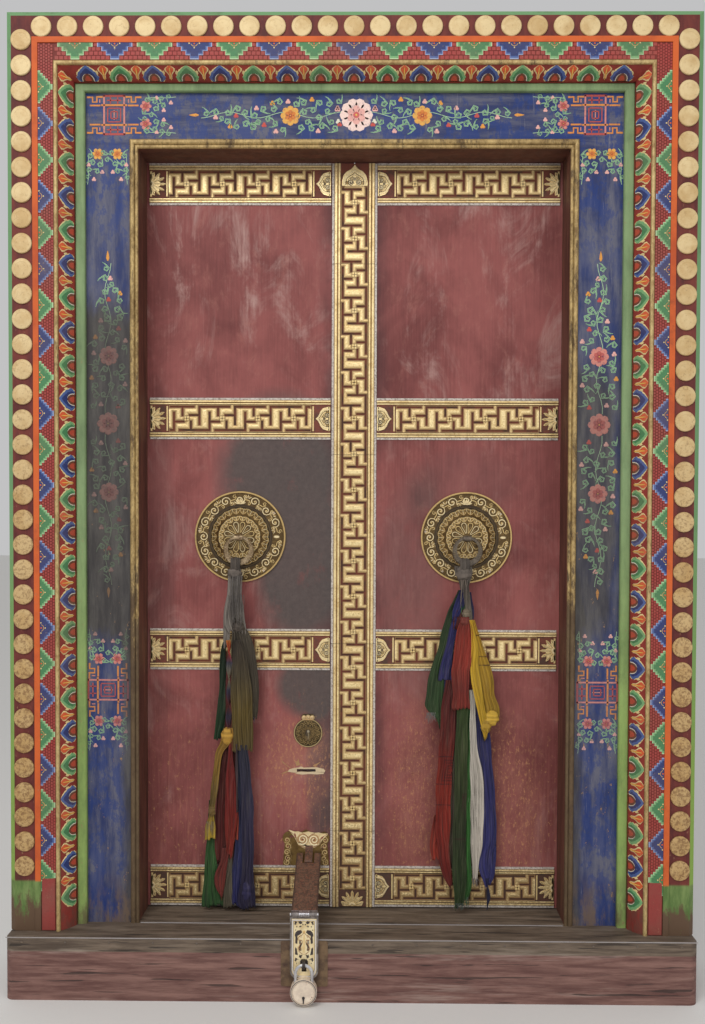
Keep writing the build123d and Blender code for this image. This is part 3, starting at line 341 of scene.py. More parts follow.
def post_paint():
    """Blue paint, dried to grey in streaks, touched up bright, worn and sooty at hand height."""
    f = Finish("post_paint")
    on_post = f.z.step(2.352, 2.34)
    upright_streak = f.noise(34, 5, 0.7, (1, 1, 0.14))
    level_streak = f.noise(34, 5, 0.7, (0.14, 1, 1))
    streak = upright_streak * on_post + level_streak * (1 - on_post)
    cloud = f.noise(5, 4, 0.6)
    f.ground((streak + cloud * 0.6).step(0.62, 1.0), (42, 52, 94), (98, 98, 112))
    kept = 0.25 + 0.7 * f.z.step(1.95, 2.3) + 0.45 * f.z.step(0.95, 0.6)
    fresh = f.noise(22, 5, 0.75, (1, 1, 0.55)).step(0.47, 0.56) * kept
    f.coat((fresh * 0.75).least(1.0), (20, 50, 116))
    scrape = f.noise(80, 5, 0.75, (1.6, 1, 0.12)).step(0.6, 0.74)
    f.coat(scrape * 0.55, (136, 134, 142))
    smoke = f.mix(streak.step(0.35, 0.7), (58, 54, 50), (86, 82, 76))
    f.coat(soot_on_posts(f) * 0.94, smoke)
    chip = f.noise(60, 4, 0.8, (1, 1, 0.35)).step(0.65, 0.68) * f.z.step(1.6, 1.1)
    f.coat(chip, (150, 118, 86))
    bare = f.z.step(0.34, 0.2) * f.noise(30, 4, 0.7, (1, 1, 0.3)).step(0.4, 0.6)
    f.coat(bare * 0.8, (112, 92, 74))
    reveal = in_doorway(f)
    lining = f.mix(streak.step(0.35, 0.7), (74, 44, 36), (112, 70, 56))
    f.coat(reveal, lining)
    rough = 0.58 + streak * 0.15 - fresh * 0.1
    return f.finish(rough, height=streak - chip * 0.8, depth=0.001, strength=0.55, gloss=0.3)


def board_ornament_paint():
    """The painted flowers, thinned by age and lost under the soot."""
    f = Finish("board_ornament_paint")
    paint = f.written()
    fine = f.noise(130, 4, 0.75)
    f.ground(fine.step(0.48, 0.72) * 0.5, paint, (54, 62, 96))
    smoke = f.noise(60, 4, 0.7)
    dim = soot_on_posts(f) * (0.62 + 0.3 * f.x.step(0.1, -0.1))
    f.coat(dim * (0.7 + smoke * 0.4), (68, 62, 58))
    faded = f.z.step(1.05, 0.7) * 0.3
    f.coat(faded, (78, 74, 96))
    return f.finish(0.6 + fine * 0.15, height=fine, depth=0.0004, strength=0.3)


def painted_board(name, bright, worn, speck):
    """Plain paint on a timber member, with brush streaks, grime in patches and rubbed specks."""
    f = Finish(name)
    streak = f.noise(40, 5, 0.7, (1, 1, 0.2))
    cloud = f.noise(6, 4, 0.65)
    f.ground((streak * 0.7 + cloud * 0.6).step(0.4, 0.95), bright, worn)
    grime = f.noise(9, 5, 0.7).step(0.56, 0.8) * 0.55
    f.coat(grime, (70, 56, 44))
    rub = f.noise(120, 4, 0.8, (1, 1, 0.5)).step(0.64, 0.72)
    f.coat(rub * 0.6, speck)
    foot = f.z.step(0.42, 0.2) * f.noise(24, 5, 0.7, (1, 1, 0.4)).step(0.35, 0.65)
    f.coat(foot * 0.75, (92, 74, 62))
    rough = 0.55 + streak * 0.2
    return f.finish(rough, height=streak + cloud * 0.4 - rub * 0.5, depth=0.0008, strength=0.5, gloss=0.3)


def green_edge_paint():
    """Green lath: bluish above, yellower and dirtier low down, rubbed at its corners."""
    f = Finish("green_edge_paint")
    streak = f.noise(40, 5, 0.7, (1, 1, 0.2))
    cloud = f.noise(6, 5, 0.65)
    high = f.mix((streak * 0.7 + cloud * 0.6).step(0.45, 0.95), (132, 156, 110), (100, 120, 84))
    low = f.mix((streak * 0.7 + cloud * 0.6).step(0.45, 0.95), (144, 170, 94), (108, 130, 74))
    f.ground(f.z.step(1.5, 0.6), high, low)
    grime = f.noise(8, 6, 0.72, (1, 1, 0.6)).step(0.52, 0.78) * 0.55
    f.coat(grime, (72, 74, 50))
    chips = f.noise(100, 4, 0.8, (1, 1, 0.45)).step(0.62, 0.68) * (0.35 + f.z.step(1.3, 0.5) * 0.45)
    f.coat(chips, (150, 122, 90))
    foot = f.z.step(0.36, 0.2) * f.noise(24, 5, 0.7, (1, 1, 0.4)).step(0.35, 0.6)
    f.coat(foot * 0.8, (98, 84, 62))
    rough = 0.55 + streak * 0.2
    return f.finish(rough, height=streak + cloud * 0.4 - chips * 0.5, depth=0.0008, strength=0.5, gloss=0.3)


def disc_board_paint():
    """An orange fillet, a dark maroon ground, a green outer slope, and rough worn feet."""
    f = Finish("disc_board_paint")
    across = (abs(f.x) - DISC_BOARD_EDGE * MM).most(f.z - DISC_BOARD_FOOT * MM)
    streak = f.noise(40, 5, 0.7, (1, 1, 0.25))
    cloud = f.noise(7, 4, 0.65)
    ground = f.mix((streak + cloud * 0.5).step(0.5, 0.95), (82, 34, 34), (116, 54, 46))
    orange = f.mix(cloud.step(0.4, 0.7), (204, 96, 44), (176, 76, 38))
    green = f.mix(f.z.step(1.5, 0.5), (110, 152, 104), (132, 162, 74))
    f.ground(across.step(0.0156, 0.0153), ground, orange)
    f.coat(across.step(0.0727, 0.0731), green)
    grime = f.noise(12, 5, 0.7).step(0.54, 0.78) * 0.5
    f.coat(grime, (66, 44, 36))
    rub = f.noise(110, 4, 0.8, (1, 1, 0.5)).step(0.62, 0.7) * (0.35 + f.z.step(1.4, 0.5) * 0.4)
    f.coat(rub, (160, 122, 88))
    foot = f.z.step(0.318, 0.31)
    block = f.mix(streak.step(0.35, 0.7), (84, 110, 56), (122, 142, 84))
    bare = (f.noise(24, 5, 0.75, (1, 1, 0.35)) + f.z.step(0.3, 0.18) * 0.3).step(0.55, 0.7)
    block = f.mix(bare, block, (96, 74, 56))
    f.coat(foot, block)
    return f.finish(0.55 + streak * 0.2, height=streak + cloud * 0.4, depth=0.0008, strength=0.5, gloss=0.3)


def old_gilding(name, bright, deep, worn_low, share=0.5):
    """Gold leaf dulled to brown in the hollows, rubbed away low down and in patches."""
    f = Finish(name)
    patch = f.noise(16, 5, 0.7, (1, 1, 0.6))
    fine = f.noise(150, 4, 0.75, (1, 1, 0.5))
    f.ground((patch * 0.7 + fine * 0.6).step(0.45, 0.85), bright, deep)
    loss = f.z.step(worn_low + 0.5, worn_low - 0.3)
    gone = (f.noise(34, 6, 0.8, (1, 1, 0.25)) + loss * 0.3 - 0.12 + share * 0.1).step(0.5, 0.62)
    f.coat(gone * 0.85, (70, 52, 38))
    metallic = 0.35 - gone * 0.3
    rough = 0.46 + patch * 0.2 + gone * 0.2
    return f.finish(rough, metallic, height=fine + patch - gone * 0.5, depth=0.0008, strength=0.55)


GROOVE_LINES = ((-20.2, 66.6, -33.8, -33.8), (66.6, 66.6, -33.8, 16.4), (12.2, 12.2, -33.8, -9.3),
                (66.6, 94.2, -9.3, -9.3))


def groove_distance(along, across):
    """Metres from the middle line of the nearest groove; along runs from the middle of a fret unit."""
    nearest = 1.0
    pitch = FRET_PERIOD * MM
    for low, high, left, right in GROOVE_LINES:
        for hand in (1, -1):
            middle, side = hand * (low + high) / 2 * MM, hand * (left + right) / 2 * MM
            beside = abs((along - middle + pitch / 2).repeat(pitch) - pitch / 2) - (high - low) / 2 * MM
            over = abs(across - side) - (right - left) / 2 * MM
            nearest = beside.most(over).least(nearest)
    return nearest


def fret_brass(name, upright):
    """Gilded brass keys and beads over a red-brown ground, with a pale nailing strip; painted shade darkens
    the keys towards their edges and browns them beside the grooves.
    """
    f = Finish(name)
    raised = f.y.step(-0.0039, -0.0047)
    patch = f.noise(24, 5, 0.7)
    fine = f.noise(210, 4, 0.75)
    worn = f.z.step(0.8, 0.2)
    if upright:
        strip = abs(f.x - ASTRAGAL_X * MM).step(0.0588, 0.0592)
        joint = abs((f.z - 0.68).repeat(0.55) - 0.275).step(0.001, 0.0004)
        field = abs(f.x - ASTRAGAL_X * MM).step(0.0392, 0.0388) * f.z.between(0.228, 2.277, 0.001)
        near = groove_distance(f.z - ASTRAGAL_TOP_FRET * MM, ASTRAGAL_X * MM - f.x)
        bead = abs(abs(f.x - ASTRAGAL_X * MM) - 0.0482).step(0.0016, 0.0006)
    else:
        height = f.z - BAND_HEIGHTS[0] * MM
        strip = abs(height).between(0.0542, 0.062, 0.0004)
        for before, centre in zip(BAND_HEIGHTS, BAND_HEIGHTS[1:]):
            strip = strip + abs(f.z - centre * MM).between(0.0542, 0.062, 0.0004)
            middle = (before + centre) / 2 * MM
            height = height - f.z.step(middle, middle + 0.001) * ((centre - before) * MM)
        joint = abs(abs(f.x) - 0.329).step(0.001, 0.0004) * 0.5
        field = abs(abs(f.x) - 0.3295).step(0.2076, 0.2072) * abs(height).step(0.0392, 0.0388)
        along = (BAND_END - FRET_CENTRES[0]) * MM - abs(f.x)
        near = groove_distance(along, height * (1 - f.x.step(-0.001, 0.001) * 2))
        bead = abs(abs(height) - 0.0462).step(0.0016, 0.0006)
    # Painted shade: the gold darkens towards the edges of the raised keys and turns brown beside the
    # grooves.
    wavy = near + (fine - 0.5) * 0.004 + (patch - 0.5) * 0.009
    shade = wavy.step(0.0078, 0.0032) * field
    bulge_shade = wavy.step(0.0115, 0.0072) * field
    gold = f.mix((patch * 0.7 + fine * 0.6).step(0.5, 0.9), (250, 228, 172), (212, 178, 118))
    gold = f.mix(bulge_shade * 0.5, gold, (176, 138, 80))
    gold = f.mix((fine + worn * 0.14).step(0.52, 0.72) * 0.5, gold, (124, 92, 58))
    # The brown of the painted shade beside the grooves.
    hollow_shade = f.mix(patch.step(0.35, 0.65), (146, 110, 68), (110, 76, 48))
    gold = f.mix(shade * 0.92, gold, hollow_shade)
    gold = f.mix(bead * 0.8, gold, (112, 82, 50))
    ground = f.mix(patch.step(0.4, 0.65), (112, 56, 40), (74, 48, 36))
    ground = f.mix(worn * 0.7, ground, (64, 48, 36))
    f.ground(raised, ground, gold)
    silver = f.mix(fine.step(0.4, 0.7), (206, 198, 190), (136, 124, 114))
    f.coat(strip.least(1.0), silver)
    f.coat(joint * 0.8, (64, 46, 34))
    metallic = 0.5 * raised * (1 - shade * 0.6) + strip.least(1.0) * 0.4 * (1 - raised)
    rough = 0.34 + fine * 0.16 + (1 - raised) * 0.3 + shade * 0.15
    return f.finish(rough, metallic, height=fine * 0.5 + patch - shade * 1.6 - bulge_shade, depth=0.0008,
                    strength=0.6)


def boss_brass():
    """Old brass, bright on what stands proud; the sunk ring round the dome is painted near black and the
    slope inside it darker, as painted shadow.
    """
    f = Finish("boss_brass")
    side = abs(f.x) - BOSS_X * MM
    height = f.z - BOSS_Z * MM
    radius = f.node("ShaderNodeMath", {"operation": "SQRT"}, {0: side * side + height * height}).value(0)
    patch = f.noise(30, 5, 0.7)
    fine = f.noise(240, 4, 0.75)
    f.ground((patch * 0.6 + fine * 0.6).step(0.45, 0.85), (188, 154, 96), (112, 84, 52))
    ground = radius.between(0.0905, 0.1272, 0.001) * (0.4 + (patch * 0.6 + fine * 0.6).step(0.3, 0.6) * 0.6)
    f.coat(ground * 0.85, (70, 54, 34))
    dome = radius.step(0.066, 0.06) * (0.6 + fine.step(0.3, 0.6) * 0.4)
    f.coat(dome * 0.85, (66, 50, 32))
    # Painted shadow: near black in the sunk ring round the dome, darker on the slope of the dome inside it.
    hollow_shade = radius.between(0.078, 0.0905, 0.006)
    cone = radius.between(0.06, 0.08, 0.006)
    f.coat(cone * 0.55, (58, 42, 28))
    f.coat(hollow_shade * 0.85, (30, 22, 18))
    rim = radius.between(0.1285, 0.133, 0.0008)
    f.coat(rim * 0.7, (206, 176, 118))
    dirt = f.noise(16, 5, 0.7, twist=0.6).step(0.52, 0.78)
    f.coat(dirt * 0.5, (64, 46, 32))
    metallic = 0.8 - hollow_shade * 0.4 - dirt * 0.2
    rough = 0.36 + fine * 0.14 + dirt * 0.2 + hollow_shade * 0.2
    return f.finish(rough, metallic, height=fine + patch, depth=0.0005, strength=0.5)


def chased_brass(name, bright, dull):
    """The brass of raised ornament: the written colour, rubbed bright, dirty in places."""
    f = Finish(name)
    paint = f.written()
    patch = f.noise(30, 5, 0.7)
    fine = f.noise(220, 4, 0.75)
    f.ground(patch.step(0.35, 0.7) * 0.35, paint, bright)
    f.coat(fine.step(0.5, 0.75) * 0.5, dull)
    return f.finish(0.36 + fine * 0.2, 0.5, height=fine, depth=0.0004, strength=0.4)


def ring_brass():
    """The pull rings: the left one rubbed pale, the right one nearly black."""
    f = Finish("ring_brass")
    patch = f.noise(60, 5, 0.7)
    fine = f.noise(260, 4, 0.75)
    left = f.mix((patch * 0.6 + fine * 0.6).step(0.4, 0.7), (206, 182, 144), (104, 84, 62))
    right = f.mix((patch * 0.6 + fine * 0.6).step(0.45, 0.8), (118, 106, 92), (70, 62, 54))
    f.ground(f.x.step(-0.001, 0.001), left, right)
    return f.finish(0.34 + fine * 0.2, 0.5, height=fine + patch, depth=0.0004, strength=0.5)


def rusted_iron():
    """The hasp's iron: brown rust with reddish flecks, dark along its edges, a bright rubbed hinge."""
    f = Finish("hasp_iron")
    patch = f.noise(60, 5, 0.7)
    flecks = f.noise(190, 5, 0.8)
    f.ground(patch.step(0.35, 0.7), (112, 84, 66), (82, 58, 46))
    f.coat(flecks.step(0.5, 0.62) * 0.6, (152, 92, 68))
    f.coat(flecks.step(0.5, 0.4) * 0.55, (52, 42, 38))
    edge = abs(f.x - HASP_X * MM).step(0.029, 0.0335)
    f.coat(edge * 0.6, (50, 38, 32))
    hinge = f.z.between(0.2385, 0.2525, 0.0008)
    f.coat(hinge, f.mix(flecks.step(0.4, 0.6), (206, 204, 208), (140, 134, 134)))
    return f.finish(0.62 - hinge * 0.3, hinge * 0.7 + 0.15, height=flecks + patch, depth=0.0008,
                    strength=0.7)


def aged_metal(name, bright, dull, dark, rough=0.36, metallic=0.9, scale=40, wear=0.5):
    """Metal with a mottled patina, dark dirt in patches and fine scratches."""
    f = Finish(name)
    patch = f.noise(scale, 5, 0.65)
    dirt = f.noise(scale * 0.45, 5, 0.7, twist=0.6).step(0.5, 0.78)
    scratch = f.noise(320, 3, 0.7, (1, 1, 0.12))
    f.ground(patch.step(0.35, 0.68), bright, dull)
    f.coat(dirt * wear, dark)
    roughness = rough + patch * 0.2 + dirt * 0.25 + scratch * 0.06
    return f.finish(roughness, metallic - dirt * 0.35 * wear, height=scratch * 0.5 + patch, depth=0.0004,
                    strength=0.5)


def weathered_wood(name, base, dark, pale):
    """Old timber: long grain with checks, trodden pale along edges, dark stains."""
    f = Finish(name)
    along_x = (0.12, 1, 1.6)
    grain = f.noise(46, 6, 0.7, along_x, 0.3)
    check = f.noise(90, 3, 0.5, (0.05, 1, 1)).step(0.62, 0.66)
    stain = f.noise(4.5, 5, 0.65)
    f.ground(grain.step(0.32, 0.7), dark, base)
    f.coat(stain.step(0.5, 0.75) * 0.5, dark)
    rub = f.noise(15, 5, 0.7, along_x).step(0.55, 0.72)
    f.coat(rub * 0.5, pale)
    f.coat(check * 0.7, (34, 26, 22))
    rough = 0.62 + grain * 0.2
    return f.finish(rough, height=grain - check * 0.9, depth=0.0016, strength=0.7)


def build_finishes():
    """Every finish of a CAD node, by the record's slot name: its own without the number Blender adds."""
    made = (
        leaf_paint(),
        post_paint(),
        green_edge_paint(),
        painted_board("petal_paint", (150, 56, 46), (116, 44, 38), (180, 108, 82)),
        painted_board("stepped_paint", (122, 50, 42), (92, 38, 32), (166, 104, 80)),
        disc_board_paint(),
        old_gilding("bead_gilding", (196, 168, 112), (116, 90, 52), 0.9, 1.0),
        old_gilding("casing_gilding", (206, 182, 126), (146, 114, 70), -0.2),
        fret_brass("band_brass", False),
        boss_brass(),
        ring_brass(),
        aged_metal("key_plate_brass", (98, 82, 56), (64, 54, 40), (38, 32, 28), wear=0.8),
        aged_metal("cloud_plate_brass", (138, 112, 66), (104, 80, 48), (62, 46, 32), wear=0.8),
        aged_metal("hasp_brass", (246, 230, 188), (228, 204, 152), (160, 126, 84), 0.34, 0.35),
        aged_metal("threshold_plate_brass", (122, 98, 72), (84, 64, 50), (66, 44, 38), 0.6, 0.2, 30, 1.0),
        rusted_iron(),
        aged_metal("pivot_iron", (86, 80, 76), (60, 54, 50), (40, 32, 28), 0.5, 0.8),
        aged_metal("shackle_steel", (222, 222, 224), (186, 186, 190), (104, 100, 98), 0.24, 0.8, 60, 0.3),
        aged_metal("padlock_steel", (246, 230, 208), (226, 208, 188), (150, 128, 110), 0.36, 0.3, 50, 0.35),
        weathered_wood("threshold_paint", (140, 104, 94), (94, 60, 54), (178, 156, 144)),
        weathered_wood("plank_grey", (124, 108, 92), (76, 62, 50), (168, 154, 138)),
        weathered_wood("ledge_wood", (122, 92, 66), (76, 54, 40), (150, 122, 92)),
        painted_board("scarf_cloth", (120, 60, 50), (90, 50, 46), (150, 110, 90)),
    )
    return {finish.name.split(".")[0]: finish for finish in made}


def carving_paint(name, rough=0.55, grime=0.5, faded=0.35):
    """The colours written on raised ornament, with grime in the hollows, fading and rubbed edges."""
    f = Finish(name)
    paint = f.written()
    cloud = f.noise(7, 4, 0.65)
    fine = f.noise(150, 4, 0.75)
    f.ground(cloud.step(0.35, 0.75) * faded, paint, (120, 96, 78))
    f.coat(fine.step(0.5, 0.78) * grime, (66, 46, 36))
    rub = f.noise(90, 4, 0.8).step(0.63, 0.7)
    f.coat(rub * 0.45, (196, 170, 130))
    return f.finish(rough + fine * 0.15, height=fine, depth=0.0006, strength=0.4)


def disc_gilding():
    """Cream-gold wooden discs, ochre and rubbed lower down, with faint turned rings."""
    f = Finish("disc_gilding")
    patch = f.noise(13, 4, 0.65)
    fine = f.noise(140, 4, 0.75)
    low = f.z.step(2.3, 0.6)
    f.ground(patch.step(0.35, 0.7), (218, 194, 146), (192, 160, 108))
    f.coat(low * 0.62, (176, 136, 78))
    worn = (fine + low * 0.12).step(0.55, 0.72) * (0.35 + low * 0.4)
    f.coat(worn, (120, 84, 50))
    return f.finish(0.5 + fine * 0.2, 0.15, height=fine + patch, depth=0.0006, strength=0.45)


FINISHES = build_finishes()
CARVING_PAINT = carving_paint("carving_paint")
DISC_GILDING = disc_gilding()
BOARD_ORNAMENT_PAINT = board_ornament_paint()
BOSS_ORNAMENT = chased_brass("boss_ornament", (214, 184, 124), (110, 82, 50))
BAND_ORNAMENT = chased_brass("band_ornament", (238, 220, 176), (150, 116, 76))
for part in frame["record"]["subparts"]:
    node = NODES[part["node"]]
    node.data.materials.clear()
    node.data.materials.append(FINISHES[part["material_slot"]])
NODES["astragal"].data.materials[0] = fret_brass("astragal_brass", True)


# Raised ornament

def polar(reach, turn, u=0, v=0):
    """The point at a distance and an angle from (u, v)."""
    return u + reach * math.cos(turn), v + reach * math.sin(turn)


def front(y):
    """Places ornament on an upright face at depth y, seen from the front."""
    return lambda u, v, rise: (u, y - rise, v)


def signed_area(outline):
    """Twice the area of an outline, above 0 where it runs against the clock."""
    pairs = zip(outline, outline[1:] + outline[:1])
    return sum(u0 * v1 - u1 * v0 for (u0, v0), (u1, v1) in pairs)


def drawn_in(outline, amount):
    """The outline moved inwards by amount at every corner."""
    count = len(outline)
    moved = []
    for index, (u, v) in enumerate(outline):
        before = Vector(outline[index - 1])
        after = Vector(outline[(index + 1) % count])
        here = Vector((u, v))
        first = (here - before).normalized()
        second = (after - here).normalized()
        inward = Vector((-first.y - second.y, first.x + second.x))
        size = max(inward.length_squared, 0.6)
        moved.append((u + 2 * amount * inward.x / size, v + 2 * amount * inward.y / size))
    return moved


class Relief:
    """Closed shapes raised from a face, gathered into one mesh with a colour on every face."""

    def __init__(self, face=None):
        self.face = face or front(0)
        self.points = []
        self.faces = []
        self.colours = []

    def ring(self, points):
        start = len(self.points)
        self.points += points
        return start

    def cover(self, corners, colour):
        self.faces.append(tuple(corners))
        self.colours.append(colour)

    def plate(self, outline, low, high, colour, draw=0.0):
        """A flat shape from low to high, its top drawn in for a soft edge."""
        if signed_area(outline) < 0:
            outline = outline[::-1]
        count = len(outline)
        top = drawn_in(outline, draw) if draw else outline
        base = self.ring([self.face(u, v, low) for u, v in outline])
        lid = self.ring([self.face(u, v, high) for u, v in top])
        self.cover(range(lid, lid + count), colour)
        self.cover(range(base + count - 1, base - 1, -1), colour)
        for index in range(count):
            following = (index + 1) % count
            self.cover((base + index, base + following, lid + following, lid + index), colour)

    def stroke(self, path, widths, low, high, colour, soft=0.25):
        """A raised line along path, with a width at every point; soft narrows its top."""
        path = [Vector(point) for point in path]
        rings = []
        for index, here in enumerate(path):
            ahead = path[min(index + 1, len(path) - 1)] - path[max(index - 1, 0)]
            side = Vector((-ahead.y, ahead.x)).normalized() * widths[index] / 2
            inner = side * (1 - 2 * soft)
            corners = ((here - side, low), (here - inner, high), (here + inner, high), (here + side, low))
            rings.append(self.ring([self.face(point.x, point.y, rise) for point, rise in corners]))
        for first, second in zip(rings, rings[1:]):
            for a, b in ((0, 1), (1, 2), (2, 3), (3, 0)):
                self.cover((first + a, first + b, second + b, second + a), colour)
        self.cover(range(rings[0] + 3, rings[0] - 1, -1), colour)
        self.cover(range(rings[-1], rings[-1] + 4), colour)

    def bar(self, u0, v0, u1, v1, width, low, high, colour, draw=0.4):
        """A straight bar with square ends."""
        half = width / 2
        left, right = sorted((u0, u1))
        foot, head = sorted((v0, v1))
        outline = [(left - half, foot - half), (right + half, foot - half), (right + half, head + half),
                   (left - half, head + half)]
        self.plate(outline, low, high, colour, draw)

    def dome(self, u, v, rings, sides, colour):
        """A turned shape; rings are (radius, rise) from its foot to its crown."""
        starts = []
        for radius, rise in rings:
            turns = [2 * math.pi * side / sides for side in range(sides)]
            starts.append(self.ring([self.face(*polar(radius, turn, u, v), rise) for turn in turns]))
        for first, second in zip(starts, starts[1:]):
            for side in range(sides):
                following = (side + 1) % sides
                self.cover((first + side, first + following, second + following, second + side), colour)
        self.cover(range(starts[-1], starts[-1] + sides), colour)
        self.cover(range(starts[0] + sides - 1, starts[0] - 1, -1), colour)

    def mesh(self, name, finish=None):
        """The gathered shapes as a mesh in metres."""
        mesh = bpy.data.meshes.new(name)
        mesh.from_pydata([[value * MM for value in point] for point in self.points], [], self.faces)
        paint = mesh.attributes.new(PAINT, "FLOAT_COLOR", "CORNER")
        flat = []
        for face, colour in zip(self.faces, self.colours):
            flat.extend(list(colour) * len(face))
        paint.data.foreach_set("color", flat)
        face_outwards(mesh)
        if finish:
            mesh.materials.append(finish)
        return mesh

    def piece(self, name, finish, body, slot):
        """The gathered shapes as a piece that rides on a body."""
        return add_piece(name, self.mesh(name, finish), body)


def face_outwards(mesh, merge=0.0):
    """Turns the faces of closed shapes outwards, with points closer than merge joined first."""
    shape = bmesh.new()
    shape.from_mesh(mesh)
    if merge:
        bmesh.ops.remove_doubles(shape, verts=shape.verts, dist=merge)
    bmesh.ops.recalc_face_normals(shape, faces=shape.faces)
    shape.to_mesh(mesh)
    shape.free()


def add_piece(name, mesh, body):
    """A finished mesh as a piece of the door."""
    piece = bpy.data.objects.new(name, mesh)
    bpy.context.scene.collection.objects.link(piece)
    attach(piece, body)
    return piece


# Repeated shapes, set out by Geometry Nodes

def tree_inputs(tree, inputs):
    """Named inputs of a node tree with their starting values."""
    for name, kind, given in inputs:
        socket = tree.interface.new_socket(name, in_out="INPUT", socket_type=kind)
        if given is not None:
            socket.default_value = given
    tree.interface.new_socket("Geometry", in_out="OUTPUT", socket_type="NodeSocketGeometry")


def link_nodes(tree, links):
    """Joins (node, output) to (node, input)."""
    for source, output, target, given in links:
        tree.links.new(source.outputs[output], target.inputs[given])


def row_tree():
    """A shape repeated along a line."""
    tree = bpy.data.node_groups.new("row", "GeometryNodeTree")
    tree_inputs(tree, (
        ("Geometry", "NodeSocketGeometry", None), ("Count", "NodeSocketInt", 10),
        ("Start", "NodeSocketVector", None), ("Step", "NodeSocketVector", None),
        ("Finish", "NodeSocketMaterial", None)))
    made = {kind: tree.nodes.new(kind) for kind in (
        "NodeGroupInput", "GeometryNodeMeshLine", "GeometryNodeInstanceOnPoints",
        "GeometryNodeRealizeInstances", "GeometryNodeSetMaterial", "NodeGroupOutput")}
    given, line, copies, real, coat, end = made.values()
    line.mode = "OFFSET"
    link_nodes(tree, (
        (given, "Count", line, "Count"), (given, "Start", line, "Start Location"),
        (given, "Step", line, "Offset"), (line, "Mesh", copies, "Points"),
        (given, "Geometry", copies, "Instance"), (copies, "Instances", real, "Geometry"),
        (real, "Geometry", coat, "Geometry"), (given, "Finish", coat, "Material"),
        (coat, "Geometry", end, "Geometry")))
    return tree


def scatter_tree():
    """A shape set on each point, turned and sized by the point's own values."""
    tree = bpy.data.node_groups.new("scatter", "GeometryNodeTree")
    tree_inputs(tree, (
        ("Geometry", "NodeSocketGeometry", None), ("Shape", "NodeSocketObject", None),
        ("Finish", "NodeSocketMaterial", None)))
    given = tree.nodes.new("NodeGroupInput")
    shape = tree.nodes.new("GeometryNodeObjectInfo")
    turn, size = (tree.nodes.new("GeometryNodeInputNamedAttribute") for _ in range(2))
    for reader, attribute in ((turn, "Turn"), (size, "Size")):
        reader.data_type = "FLOAT_VECTOR"
        reader.inputs["Name"].default_value = attribute
    copies = tree.nodes.new("GeometryNodeInstanceOnPoints")
    real = tree.nodes.new("GeometryNodeRealizeInstances")
    coat = tree.nodes.new("GeometryNodeSetMaterial")
    end = tree.nodes.new("NodeGroupOutput")
    link_nodes(tree, (
        (given, "Geometry", copies, "Points"), (given, "Shape", shape, "Object"),
        (shape, "Geometry", copies, "Instance"), (turn, "Attribute", copies, "Rotation"),
        (size, "Attribute", copies, "Scale"), (copies, "Instances", real, "Geometry"),
        (real, "Geometry", coat, "Geometry"), (given, "Finish", coat, "Material"),
        (coat, "Geometry", end, "Geometry")))
    return tree


ROW = row_tree()
SCATTER = scatter_tree()


def set_out(name, mesh, tree, inputs, body, slot):
    """Runs a tree on a mesh and keeps the result as a plain piece."""
    holder = bpy.data.objects.new(name, mesh)
    bpy.context.scene.collection.objects.link(holder)
    repeat = holder.modifiers.new("repeat", "NODES")
    repeat.node_group = tree
    keys = {item.name: item.identifier for item in tree.interface.items_tree if item.in_out == "INPUT"}
    for label, given in inputs.items():
        repeat[keys[label]] = given
    depth = bpy.context.evaluated_depsgraph_get()
    result = bpy.data.meshes.new_from_object(holder.evaluated_get(depth), depsgraph=depth)
    result.name = name
    holder.modifiers.clear()
    holder.data = result
    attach(holder, body)
    return holder


def row(name, relief, count, start, step, finish, body, slot):
    """A row of one shape; start and step are millimetres along X, Y and Z."""
    start, step = ([value * MM for value in vector] for vector in (start, step))
    inputs = {"Count": count, "Start": start, "Step": step, "Finish": finish}
    return set_out(name, relief.mesh(name), ROW, inputs, body, slot)


def scatter(name, relief, places, y, finish, body, slot):
    """Copies of one shape; places are (x, z, turn in degrees, size, hand)."""
    shape = bpy.data.objects.new(f"{name}_shape", relief.mesh(f"{name}_shape"))
    bpy.context.scene.collection.objects.link(shape)
    mesh = bpy.data.meshes.new(name)
    mesh.from_pydata([(x * MM, y * MM, z * MM) for x, z, _, _, _ in places], [], [])
    turns = [(0, -math.radians(turn), 0) for _, _, turn, _, _ in places]
    sizes = [(size * hand, 1, size) for _, _, _, size, hand in places]
    for attribute, vectors in (("Turn", turns), ("Size", sizes)):
        data = mesh.attributes.new(attribute, "FLOAT_VECTOR", "POINT").data
        data.foreach_set("vector", [value for vector in vectors for value in vector])
    piece = set_out(name, mesh, SCATTER, {"Shape": shape, "Finish": finish}, body, slot)
    face_outwards(piece.data)
    bpy.data.objects.remove(shape)
    return piece


# The carved and painted frame

SIDES = ("left", "right", "top")
PETAL_FACE = -146.0
PETAL_FALL = 42.0
PETAL_BULGE = 5.0
DISC_RADIUS = 27.75
GREENS = (rgb(176, 206, 160), rgb(116, 168, 112), rgb(66, 124, 78))
BLUES = (rgb(150, 166, 200), rgb(70, 94, 150), rgb(32, 48, 104))
CREAM = rgb(224, 202, 142)
IVORY = rgb(220, 214, 194)
ORANGE = rgb(206, 88, 42)
YELLOW = rgb(230, 186, 84)
BRICK_RED = rgb(158, 56, 50)
HEART_BROWN = rgb(110, 58, 36)
HEART_RED = rgb(182, 70, 46)
OLD_GOLD = rgb(212, 186, 134)
OCHRE = rgb(214, 168, 100)


def across(name, side):
    """How far a frame member's inner edge lies from the doorway, and how wide the member is."""
    near, far = (box_side(f"{name}_top", end, 2) - HEAD_BOTTOM if side == "top"
                 else box_side(f"{name}_right", end, 0) - HALF_OPENING for end in (min, max))
    return near, far - near


def member_face(side, fall=None):
    """Places ornament on a frame member: u runs along it, v outwards from its inner edge."""
    fall = fall or (lambda v: 0.0)
    if side == "top":
        return lambda u, v, rise: (u, fall(v) - rise, v)
    hand = 1 if side == "right" else -1
    return lambda u, v, rise: (hand * v, fall(v) - rise, u)


